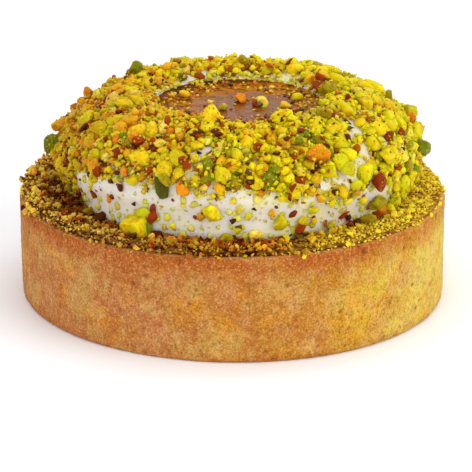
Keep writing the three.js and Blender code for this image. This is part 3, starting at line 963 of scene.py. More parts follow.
def revolved(name: str, rings: Array) -> Mesh:
    """Makes a closed shell from rings that run from the axis below, round outside, to it above.

    Args:
        name: the mesh's name.
        rings: points in millimetres, by ring, by turn, by axis. A fan closes each end.

    Returns:
        The mesh.
    """
    count, turns = rings.shape[:2]
    turn = np.arange(turns)
    after = (turn + 1) % turns
    faces: list[list[int]] = []
    for ring in range(count - 1):
        low = ring * turns
        quads = np.stack([low + turn, low + after, low + turns + after, low + turns + turn], axis=1)
        faces += quads.tolist()
    first, last = count * turns, count * turns + 1
    top = (count - 1) * turns
    faces += [[first, int(b), int(a)] for a, b in zip(turn, after)]
    faces += [[last, top + int(a), top + int(b)] for a, b in zip(turn, after)]
    ends = np.stack([rings[0].mean(axis=0), rings[-1].mean(axis=0)])
    return plain_mesh(name, np.concatenate([rings.reshape(-1, 3), ends]), faces)


def joined(name: str, meshes: Sequence[Mesh]) -> Mesh:
    """Copies several meshes into one, without their named values.

    Args:
        name: name of the new mesh.
        meshes: the meshes.

    Returns:
        The new mesh.
    """
    points = []
    faces = []
    start = 0
    for mesh in meshes:
        points.append(points_of(mesh))
        faces += [[start + corner for corner in face.vertices] for face in mesh.polygons]
        start += len(mesh.vertices)
    return plain_mesh(name, np.concatenate(points), faces)


def smooth_shaded(mesh: Mesh) -> Mesh:
    """Shades a mesh smoothly."""
    mesh.polygons.foreach_set("use_smooth", np.ones(len(mesh.polygons), bool))
    return mesh


class GeometryRule(Group):
    """A group of geometry nodes that is run on a mesh once."""

    def __init__(self, name: str) -> None:
        """Starts a group that takes a geometry."""
        super().__init__(name, "GeometryNodeTree")
        self.base = self.takes("Geometry", "Geometry")

    def store(self, current: Socket, name: str, value: Socket, domain: str = "POINT") -> Socket:
        """Stores a named value with a geometry."""
        values = {"Geometry": current, "Name": name, "Value": value}
        return self.graph.result("GeometryNodeStoreNamedAttribute", values, data_type="FLOAT", domain=domain)

    def finish(self, current: Socket) -> None:
        """Gives the geometry the material that the group takes, and ends the group."""
        values = {"Geometry": current, "Material": self.takes("Finish", "Material")}
        self.gives("Geometry", "Geometry", self.graph.result("GeometryNodeSetMaterial", values))

    def apply(self, name: str, base: Mesh, values: dict[str, Any]) -> Mesh:
        """Runs the tree on a mesh.

        Args:
            name: name of the new mesh.
            base: the mesh that the tree starts from.
            values: the inputs' values by name.

        Returns:
            The result as a plain mesh.
        """
        carrier = shown(base)
        modifier = carrier.modifiers.new(self.tree.name, "NODES")
        modifier.node_group = self.tree
        for item in self.tree.interface.items_tree:
            if item.in_out == "INPUT" and item.name in values:
                modifier[item.identifier] = values[item.name]
        graph = bpy.context.evaluated_depsgraph_get()
        made = bpy.data.meshes.new_from_object(carrier.evaluated_get(graph))
        made.name = name
        bpy.data.objects.remove(carrier)
        return made


def relief_rule() -> GeometryRule:
    """Builds the tree that makes a surface lumpy, grainy and pitted along its normals.

    Returns:
        The rule.
    """
    rule = GeometryRule("surface_relief")
    lump_size = rule.takes("Lump size", "Float", 0.006)
    lump_height = rule.takes("Lump height", "Float", 0.0)
    grain_size = rule.takes("Grain size", "Float", 0.001)
    grain_height = rule.takes("Grain height", "Float", 0.0)
    pit_size = rule.takes("Pit size", "Float", 0.002)
    pit_depth = rule.takes("Pit depth", "Float", 0.0)
    g = rule.graph
    place = g.result("GeometryNodeInputPosition")

    def swing(size: Any, height: Any, detail: float) -> Socket:
        """Noise of a size that swings by a height either way."""
        middle = g.minus(g.noise(place, size, detail, 0.6), 0.5)
        return g.times(g.times(middle, 2.6), height)

    near = g.scaled(g.cells(place, pit_size), 0.42, 0.12)
    where = g.scaled(g.noise(place, g.times(pit_size, 2.3), 2.0), 0.48, 0.62)
    pits = g.times(g.times(near, where), pit_depth)
    total = g.plus(swing(lump_size, lump_height, 2.0), swing(grain_size, grain_height, 3.0))
    total = g.minus(total, pits)
    total = g.times(total, g.stored("keep"))
    offset = g.vector_math("SCALE", g.result("GeometryNodeInputNormal"), total)
    stored = rule.store(rule.base, "relief", total)
    rule.finish(g.result("GeometryNodeSetPosition", {"Geometry": stored, "Offset": offset}))
    return rule


def scatter_rule() -> GeometryRule:
    """Builds the tree that lays loose pieces on a surface, each turned, sized and tinted its own way.

    Returns:
        The rule.
    """
    rule = GeometryRule("laid_pieces")
    pieces = rule.takes("Pieces", "Collection")
    kinds = rule.takes("Kinds", "Int", 8)
    spacing = rule.takes("Spacing", "Float", 0.002)
    density = rule.takes("Density", "Float", 1e5)
    least = rule.takes("Least size", "Float", 0.001)
    most = rule.takes("Most size", "Float", 0.002)
    stand = rule.takes("Stand", "Float", 0.2)
    tilt = rule.takes("Tilt", "Float", 0.6)
    seed = rule.takes("Seed", "Int", 1)
    g = rule.graph

    def random(low: Any, high: Any, step: int, kind: str = "FLOAT") -> Socket:
        """Gives a random value for each piece.

        Args:
            low: the least value.
            high: the greatest value.
            step: tells one use from another.
            kind: the value's type name.

        Returns:
            The value's socket.
        """
        first = {"FLOAT_VECTOR": 0, "FLOAT": 2, "INT": 4}[kind]
        number = g.plus(seed, float(step))
        node = g.add("FunctionNodeRandomValue", {first: low, first + 1: high, 8: number}, data_type=kind)
        return node.outputs[first // 2]

    values = {
        "Mesh": rule.base,
        "Distance Min": spacing,
        "Density Max": density,
        "Density Factor": g.stored("share"),
        "Seed": seed,
    }
    spread = g.add("GeometryNodeDistributePointsOnFaces", values, distribute_method="POISSON")
    place = g.math("POWER", random(0.0, 1.0, 1), 1.7)
    size = g.plus(least, g.times(place, g.minus(most, least)))
    lift = g.vector_math("SCALE", spread.outputs["Normal"], g.times(size, stand))
    raised = g.result("GeometryNodeSetPosition", {"Geometry": spread.outputs["Points"], "Offset": lift})
    spin = g.result("ShaderNodeCombineXYZ", {2: random(-math.pi, math.pi, 2)})
    lean = g.vector_math("SCALE", random((-1.0, -1.0, 0.0), (1.0, 1.0, 0.0), 3, "FLOAT_VECTOR"), tilt)
    rotation = spread.outputs["Rotation"]
    for euler in (lean, spin):
        turn = g.result("FunctionNodeEulerToRotation", {0: euler})
        rotation = g.result("FunctionNodeRotateRotation", {0: rotation, 1: turn}, rotation_space="LOCAL")
    stretch = random((0.8, 0.75, 0.75), (1.15, 1.1, 1.1), 4, "FLOAT_VECTOR")
    shapes = g.result("GeometryNodeCollectionInfo", {"Collection": pieces, "Separate Children": True})
    values = {
        "Points": raised,
        "Instance": shapes,
        "Pick Instance": True,
        "Instance Index": random(0, g.minus(kinds, 1.0), 5, "INT"),
        "Rotation": rotation,
        "Scale": g.vector_math("SCALE", stretch, size),
    }
    current = g.result("GeometryNodeInstanceOnPoints", values)
    for name, step in (("tint", 6), ("tone", 7)):
        current = rule.store(current, name, random(0.0, 1.0, step), "INSTANCE")
    rule.finish(g.result("GeometryNodeRealizeInstances", {"Geometry": current}))
    return rule


@dataclass(frozen=True)
class Chopper:
    """Makes small irregular pieces of unit length, as a knife or a mill leaves them."""

    name: str
    corners: int = 10
    width: float = 0.8
    thickness: float = 0.7
    kinds: int = 8
    soft: bool = False
    smooth: bool = True
    points: int = 28
    hardness: float = 30.0
    depths: Pair = (0.24, 0.46)
    reach: Pair = (0.38, 0.52)
    dents: float = 0.0
    seed: int = 1

    def draws(self, number: int) -> np.random.Generator:
        """Starts the random draws of one piece."""
        return np.random.default_rng([self.seed, number])

    def piece(self, number: int) -> BMesh:
        """Makes one piece.

        Args:
            number: tells the pieces of one kind apart.

        Returns:
            Its closed mesh, with outward faces.
        """
        rng = self.draws(number)
        ways = unit(rng.normal(size=(self.corners, 3)))
        if self.soft:
            return self.pebble(rng, ways, rng.uniform(*self.depths, self.corners))
        return self.hull(ways * rng.uniform(*self.reach, (self.corners, 1)))

    def cube(self, number: int) -> BMesh:
        """Makes one piece that is cut square, with uneven corners.

        Args:
            number: tells the pieces of one kind apart.

        Returns:
            Its closed mesh, with outward faces.
        """
        rng = self.draws(number)
        square = np.concatenate([np.eye(3), -np.eye(3)]) + rng.normal(0, 0.09, (6, 3))
        corners = rng.normal(size=(4, 3))
        cuts = unit(np.concatenate([square, corners]))
        depths = np.concatenate([rng.uniform(0.36, 0.42, 6), rng.uniform(0.46, 0.52, 4)])
        return self.pebble(rng, cuts, depths, 0.62)

    def shard(self, number: int) -> BMesh:
        """Makes one piece that narrows to a blunt point above, in its own upright.

        Args:
            number: tells the pieces of one kind apart.

        Returns:
            Its closed mesh, with outward faces.
        """
        rng = self.draws(number)
        turns = np.arange(5) * 2 * math.pi / 5 + rng.uniform(-0.3, 0.3, 5)
        sides = around(turns, 1.0, rng.uniform(0.25, 0.55, 5))
        below, above = (0.1, 0.0, -1.0), (0.3, 0.2, 1.0)
        cuts = unit(np.concatenate([sides, [below, above]]))
        depths = np.concatenate([rng.uniform(0.2, 0.3, 5), [0.4, 0.44]])
        return self.pebble(rng, cuts, depths, 0.6)

    def pebble(self, rng: np.random.Generator, cuts: Array, depths: Array, most: float = 0.54) -> BMesh:
        """Makes a moist piece with flat cuts and softened edges.

        Args:
            rng: draws its unevenness.
            cuts: the way that each cut faces, one row each.
            depths: how far each cut is from the middle.
            most: the piece's greatest reach from the middle.

        Returns:
            Its closed mesh, with outward faces.
        """
        step = np.arange(self.points) + 0.5
        height = 1 - 2 * step / self.points
        turn = math.pi * (1 + math.sqrt(5)) * step
        level = np.sqrt(1 - height**2)
        ways = around(turn, level, height)
        toward = np.clip(ways @ cuts.T, 0, None) / depths
        reach = ((toward**self.hardness).sum(axis=1) + (1 / most) ** self.hardness) ** (1 / self.hardness)
        rough = rng.uniform(0.97, 1.03, self.points) if self.points < 100 else np.ones(self.points)
        return self.dented(self.hull(ways * (rough / reach)[:, None]), rng)

    def dented(self, made: BMesh, rng: np.random.Generator) -> BMesh:
        """Gives a piece shallow dents of two sizes.

        Args:
            made: the piece.
            rng: draws the dents.

        Returns:
            The piece.
        """
        waves = np.concatenate([rng.normal(0, 5.0, (6, 3)), rng.normal(0, 13.0, (5, 3))])
        depths = np.concatenate([np.full(6, self.dents), np.full(5, self.dents * 0.5)])
        starts = rng.uniform(0, 6.3, len(waves))
        for vert in made.verts:
            phases = waves @ np.array(vert.co) + starts
            vert.co *= 1 + float((depths * np.sin(phases)).sum())
        return made

    def hull(self, points: Array) -> BMesh:
        """Makes the closed skin round some points, of the piece's own length, width and thickness.

        Args:
            points: the points, one row each.

        Returns:
            The skin.
        """
        made = bmesh.new()
        for point in points:
            made.verts.new(point)
        shell = bmesh.ops.convex_hull(made, input=made.verts)
        spare = [part for part in shell["geom_interior"] if isinstance(part, bmesh.types.BMVert)]
        bmesh.ops.delete(made, geom=spare, context="VERTS")
        bmesh.ops.recalc_face_normals(made, faces=made.faces)
        for face in made.faces:
            face.smooth = self.smooth
        return self.trimmed(made)

    def trimmed(self, made: BMesh) -> BMesh:
        """Scales a piece to its own length, width and thickness about its middle.

        Args:
            made: the piece.

        Returns:
            The piece.
        """
        points = np.array([vert.co for vert in made.verts])
        low, high = points.min(axis=0), points.max(axis=0)
        scale = np.array([1.0, self.width, self.thickness]) / (high - low)
        for vert, place in zip(made.verts, (points - (low + high) / 2) * scale):
            vert.co = Vector(place)
        return made

    def collection(self) -> bpy.types.Collection:
        """Makes all kinds of the piece.

        Returns:
            A collection outside the scene.
        """
        group = bpy.data.collections.new(self.name)
        for number in range(self.kinds):
            mesh = bpy.data.meshes.new(f"{self.name}_{number:02d}")
            made = self.piece(number)
            made.to_mesh(mesh)
            made.free()
            group.objects.link(bpy.data.objects.new(mesh.name, mesh))
        return group


@dataclass(frozen=True)
class Layer:
    """One layer of loose pieces: how large, how close, and of what finish. Sizes in millimetres."""

    name: str
    chopper: Chopper
    finish: PieceFinish
    spacing: float
    sizes: Pair
    stand: float = 0.2
    tilt: float = 0.6
    seed: int = 1
    density: float = 6.0
    highest: float = 1.6
    last_share: float = 1.1
    bare_share: float = 1.0
    left_share: float = 1.0
    right_share: float = 1.0
    back_share: float = 1.0
    edge_power: float = 1.0
    thin_share: float = 0.0
    on_bare: bool = False

    def lay(self, shop: Workshop, support: Mesh) -> Mesh:
        """Lays the pieces on a surface.

        Args:
            shop: the shared rules.
            support: the surface, with its share of cover stored by point.

        Returns:
            All pieces as one mesh.
        """
        group = self.chopper.collection()
        values = {
            "Pieces": group,
            "Kinds": self.chopper.kinds,
            "Spacing": self.spacing * MM,
            "Density": self.density / MM**2,
            "Least size": self.sizes[0] * MM,
            "Most size": self.sizes[1] * MM,
            "Stand": self.stand,
            "Tilt": self.tilt,
            "Seed": self.seed,
            "Finish": self.finish.material(shop.effects),
        }
        made = shop.scatter.apply(self.name, support, values)
        for spare in list(group.objects):
            bpy.data.objects.remove(spare)
        bpy.data.collections.remove(group)
        return made


class Workshop:
    """The shared rules and effects, and how a finished piece joins the tart."""

    def __init__(self) -> None:
        """Builds the rules and effects once."""
        self.effects = ShaderEffects()
        self.relief = relief_rule()
        self.scatter = scatter_rule()

    def finish(self, mesh: Mesh, node: str, slot: str) -> Object:
        """Puts a mesh in the scene as a piece of the tart.

        Args:
            mesh: the piece, in place, with its material.
            node: the solid that it stands for.
            slot: the record's slot of its finish; not used.

        Returns:
            The piece.
        """
        piece = shown(mesh)
        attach(piece, BODY)
        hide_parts(node)
        mesh.calc_loop_triangles()
        log.info("%s: %d triangles", piece.name, len(mesh.loop_triangles))
        return piece


@dataclass(frozen=True)
class Relief:
    """How lumpy, grainy and pitted a surface is, by the names of the rule's inputs. Sizes in metres."""

    lump_size: float
    lump_height: float
    grain_size: float
    grain_height: float
    pit_size: float = 0.002
    pit_depth: float = 0.0

    def apply(self, shop: Workshop, name: str, core: Mesh, finish: Finish) -> Mesh:
        """Gives a core its relief and its finish.

        Args:
            shop: the shared rules.
            name: name of the new mesh.
            core: the plain form, with how much relief each point keeps.
            finish: the finish.

        Returns:
            The new mesh, shaded smoothly.
        """
        values = {label.replace("_", " ").capitalize(): size for label, size in vars(self).items()}
        values["Finish"] = finish.material(shop.effects)
        return smooth_shaded(shop.relief.apply(name, core, values))


class Gathering:
    """Pieces placed one by one and gathered into one mesh, each with the tint of its tone."""

    lightness = 0.6

    def __init__(self) -> None:
        """Starts with no pieces."""
        self.whole = bmesh.new()
        self.tints: list[float] = []

    def add(self, piece: BMesh, place: Matrix, tone: Tone) -> None:
        """Adds a piece.

        Args:
            piece: the piece, of unit size.
            place: takes it to its size and place in metres.
            tone: its colour.
        """
        piece.transform(place)
        scratch = bpy.data.meshes.new("scratch")
        piece.to_mesh(scratch)
        piece.free()
        self.whole.from_mesh(scratch)
        self.tints += [tone.place] * len(scratch.vertices)
        bpy.data.meshes.remove(scratch)

    def mesh(self, name: str, material: Material) -> Mesh:
        """Makes the mesh of all pieces.

        Args:
            name: the mesh's name.
            material: the material of them all.

        Returns:
            The mesh.
        """
        mesh = bpy.data.meshes.new(name)
        self.whole.to_mesh(mesh)
        self.whole.free()
        mark(mesh, "tint", np.array(self.tints))
        mark(mesh, "tone", np.full(len(self.tints), self.lightness))
        mesh.materials.append(material)
        return mesh


@dataclass
class Part:
    """A part of the tart: the solid that it stands for, its slot, and the layers laid on it."""

    node: str
    slot: str
    relief: Relief
    layers: tuple[Layer, ...] = ()

    def finished(self, shop: Workshop, mesh: Mesh) -> Object:
        """Puts a mesh in the scene as a piece of this part."""
        return shop.finish(mesh, self.node, self.slot)

    def share(self, mesh: Mesh, layer: Layer) -> Array:
        """Gives how close the layer's pieces may lie at each point of a surface."""
        raise NotImplementedError

    def cover(self, shop: Workshop, below: Sequence[Mesh], layer: Layer) -> Object:
        """Lays one layer of loose pieces.

        Args:
            shop: the shared rules.
            below: the meshes that it may lie on.
            layer: the layer.

        Returns:
            The layer's piece.
        """
        support = joined(layer.name + "_support", below)
        mark(support, "share", self.share(support, layer))
        return self.finished(shop, layer.lay(shop, support))


@dataclass
class PastryCase(Part):
    """The straight-sided pastry case. Its form is the solid's, with a sandy, pitted surface."""

    node: str = "pastry_case"
    slot: str = "pastry"
    relief: Relief = Relief(
        lump_size=0.007,
        lump_height=0.00016,
        grain_size=0.0008,
        grain_height=0.00011,
        pit_size=0.0019,
        pit_depth=0.00028,
    )
    radius: float = 40.0
    height: float = 19.6
    wall: float = 3.0
    rounding: float = 0.6
    heel: float = 0.7
    heel_extra: float = 1.4
    heel_pull: float = 0.18
    heel_side: float = -0.1
    lean: float = -0.35
    warp: float = 0.65
    recess: float = 3.5
    under_radii: tuple[float, ...] = (2.0, 14.0, 26.0, 32.0, 36.0, 38.0)
    rim_radii: tuple[float, ...] = (38.8, 38.2)
    recess_radii: tuple[float, ...] = (20.0, 2.0)
    turns: int = 560
    wall_rings: int = 56

    def profile(self) -> Array:
        """Gives the case's outline, from the axis below to the axis above.

        Returns:
            The points as radius and height, one row each.
        """
        heel = self.arc(self.radius - self.heel, self.heel, self.heel, -90, 0, 5)
        top = self.height - self.rounding
        rim = self.arc(self.radius - self.rounding, top, self.rounding, 0, 90, 5)
        side = [(self.radius, z) for z in np.linspace(self.heel, top, self.wall_rings)[1:-1]]
        inner = self.radius - self.wall
        under = [(r, 0.0) for r in self.under_radii]
        flat = [(r, self.height) for r in (*self.rim_radii, inner)]
        inside = [(r, self.height - self.recess) for r in (inner, *self.recess_radii)]
        return np.array(under + heel + side + rim + flat + inside)

    @staticmethod
    def arc(r: float, z: float, size: float, start: float, end: float, steps: int) -> list[Pair]:
        """Gives an arc's points as radius and height, from a start to an end in degrees."""
        angles = np.radians(np.linspace(start, end, steps + 1))
        return [(r + size * math.cos(a), z + size * math.sin(a)) for a in angles]

    def rings(self) -> Array:
        """Gives the case's points, with its lean, its warp and its softer heel on one side.

        Returns:
            The points by ring, by turn, by axis.
        """
        angle = circle(self.turns)[None, :]
        r, z = (np.repeat(column[:, None], self.turns, axis=1) for column in self.profile().T)
        soft = self.heel_extra * ease(-0.4, 1.0, np.cos(angle - self.heel_side))
        low = np.clip((self.heel + soft - z) / (self.heel + soft), 0, 1)
        pull = self.heel_pull * soft * low * low * (3 - 2 * low)
        warp = self.warp * np.sin(2 * angle) * ease(self.height, 0.0, z)
        outer = ease(self.radius - self.wall, self.radius - self.wall + 0.5, r)
        return around(angle, r + outer * (self.lean * np.cos(angle) - warp - pull), z)

    def build(self, shop: Workshop) -> list[Object]:
        """Builds and dresses the case.

        Args:
            shop: the shared rules.

        Returns:
            The pieces, of which there is one.
        """
        mesh = revolved("case_core", self.rings())
        places = points_of(mesh)
        across = np.hypot(places[:, 0], places[:, 1])
        outside = ease(self.radius - 1.6, self.radius - 0.6, across)
        mark(mesh, "keep", outside * ease(0.0, 0.5, places[:, 2]))
        return [self.finished(shop, self.relief.apply(shop, "baked_case", mesh, PastryFinish()))]


@dataclass
class NutBed(Part):
    """The bed of ground nuts: a rough core, and loose crumbs of three sizes over it."""

    node: str = "nut_bed"
    slot: str = "ground_nuts"
    relief: Relief = Relief(lump_size=0.0028, lump_height=0.00048, grain_size=0.0008, grain_height=0.00014)
    bottom: float = 16.4
    inner: float = 36.7
    brim: float = 19.62
    outer: float = 39.4
    foot: float = 30.0
    under_cream: float = 19.3
    at_foot: float = 19.5
    heaped: float = 1.0
    heaped_least: float = 0.2
    heaped_side: float = -2.75
    at_rim: float = 20.5
    left_lift: float = 0.45
    level_from: float = 36.7
    lean: float = -0.35
    rim_step: float = 0.55
    brow: tuple[Pair, ...] = (
        (38.9, 19.64), (39.35, 19.62), (39.62, 19.54), (39.82, 19.38), (39.94, 19.18),
    )
    spill: float = 0.45
    spill_waves: Waves = ((11, 0.25, 1.0), (23, 0.25, 2.2), (41, 0.2, 0.5))
    turns: int = 360
    top_rings: int = 22
    layers: tuple[Layer, ...] = (
        Layer(
            "coarse_crumbs",
            Chopper("coarse_crumb", corners=12, kinds=12, smooth=False, seed=11),
            CrumbFinish("coarse_crumb_nut", skin_amount=0.35),
            spacing=1.6, sizes=(0.8, 1.8), stand=0.4, tilt=1.2, seed=21, right_share=0.25,
        ),
        Layer(
            "crumbs",
            Chopper("crumb", corners=9, kinds=10, smooth=False, seed=12),
            CrumbFinish("crumb_nut", skin_amount=0.3),
            spacing=0.8, sizes=(0.55, 1.25), stand=0.45, tilt=1.2, seed=22, right_share=0.35,
        ),
        Layer(
            "fine_crumbs",
            Chopper("fine_crumb", corners=7, smooth=False, seed=13),
            CrumbFinish("fine_crumb_nut", skin_amount=0.2),
            spacing=0.58, sizes=(0.4, 0.75), stand=0.4, seed=23, density=9.0,
        ),
    )

    def top(self, r: Array, angle: Array) -> Array:
        """Gives the bed's height, which dips to the cream's foot and is higher on one side.

        Args:
            r: how far from the axis.
            angle: the angles.

        Returns:
            The heights by angle.
        """
        rise = ease(self.foot, self.level_from, r)
        rim = self.at_rim - self.left_lift * np.cos(angle)
        side = ease(0.6, 1.0, np.cos(angle - self.heaped_side))
        foot = self.at_foot + self.heaped * (self.heaped_least + (1 - self.heaped_least) * side)
        return foot + (rim - foot) * rise

    def rings(self) -> Array:
        """Gives the core's points, from the axis below, round the rim, to the axis above.

        Returns:
            The points by ring, by turn, by axis.
        """
        angle = circle(self.turns)

        def ring(r: float, z: Array | float) -> Array:
            """One ring, as radii and heights."""
            return np.stack([np.full_like(angle, r), np.full_like(angle, z)])

        seat, lap = self.outer - 0.3, self.inner - 1.6
        below = [(2.0, self.bottom), (self.inner, self.bottom), (self.inner, self.brim), (seat, self.brim)]
        rows = [ring(r, z) for r, z in below]
        for r in np.linspace(self.outer, self.foot + 0.9, self.top_rings):
            least = self.brim + self.rim_step if r > lap else 0.0
            rows.append(ring(r, np.maximum(self.top(r, angle), least)))
        rows[len(below)][1] -= 0.15
        rows += [ring(r, self.under_cream) for r in (29.0, 2.0)]
        r, z = np.stack(rows, axis=1)
        return around(angle, r + self.lean * np.cos(angle) * ease(self.inner, self.outer - 0.5, r), z)

    def rim_strip(self) -> Mesh:
        """Makes the strip along the case's rounded rim that some crumbs spill onto.

        Returns:
            The strip.
        """
        angle = circle(self.turns)
        rows = [around(angle, r + self.lean * np.cos(angle), z) for r, z in self.brow]
        faces = []
        for band in range(len(rows) - 1):
            for step in range(self.turns):
                after = (step + 1) % self.turns
                low, high = band * self.turns, (band + 1) * self.turns
                faces.append((low + step, high + step, high + after, low + after))
        return plain_mesh("rim_strip", np.concatenate(rows), faces)

    def build(self, shop: Workshop) -> list[Object]:
        """Builds and dresses the core and its crumbs.

        Args:
            shop: the shared rules.

        Returns:
            The pieces.
        """
        mesh = revolved("bed_core", self.rings())
        places = points_of(mesh)
        across = np.hypot(places[:, 0], places[:, 1])
        across = across - self.lean * places[:, 0] / across
        shows = (places[:, 2] > self.brim - 0.3) * ease(self.outer + 0.1, self.outer - 0.4, across)
        mark(mesh, "keep", shows * ease(self.foot - 0.5, self.foot + 0.8, across))
        core = self.relief.apply(shop, "ground_nut_bed", mesh, MealFinish())
        pieces = [self.finished(shop, core)]
        below = [core, self.rim_strip()]
        pieces += [self.cover(shop, below, layer) for layer in self.layers]
        return pieces

    def share(self, mesh: Mesh, layer: Layer) -> Array:
        """Gives where crumbs may lie: from the cream's foot to the rim, and over it here and there.

        Args:
            mesh: the surface.
            layer: the layer.

        Returns:
            The share of the layer's density at each point.
        """
        places = points_of(mesh)
        across = np.hypot(places[:, 0], places[:, 1])
        angle = np.arctan2(places[:, 1], places[:, 0])
        facing = ease(0.1, 0.4, normals_of(mesh)[:, 2])
        reach = across - self.lean * np.cos(angle)
        ragged = wavy(0.0, angle, self.spill_waves)
        spilled = ease(self.outer + self.spill + ragged, self.outer + 0.05, reach)
        side = 1 + (layer.right_share - 1) * ease(6.0, 28.0, places[:, 0])
        return facing * side * (across > self.foot - 0.4) * spilled


class NutShape(Enum):
    """The forms of the larger nuts."""

    CHUNK = "chunk"
    CUBE = "cube"
    LEAF = "leaf"
    SHARD = "shard"


@dataclass(frozen=True)
class LargeNut:
    """A nut that stands out. Its place is degrees round the ring and a share of its outline."""

    degrees: float
    share: float
    size: Triple
    tone: Tone
    shape: NutShape = NutShape.CHUNK
    spin: float = 0.0
    yaw: float = 0.0


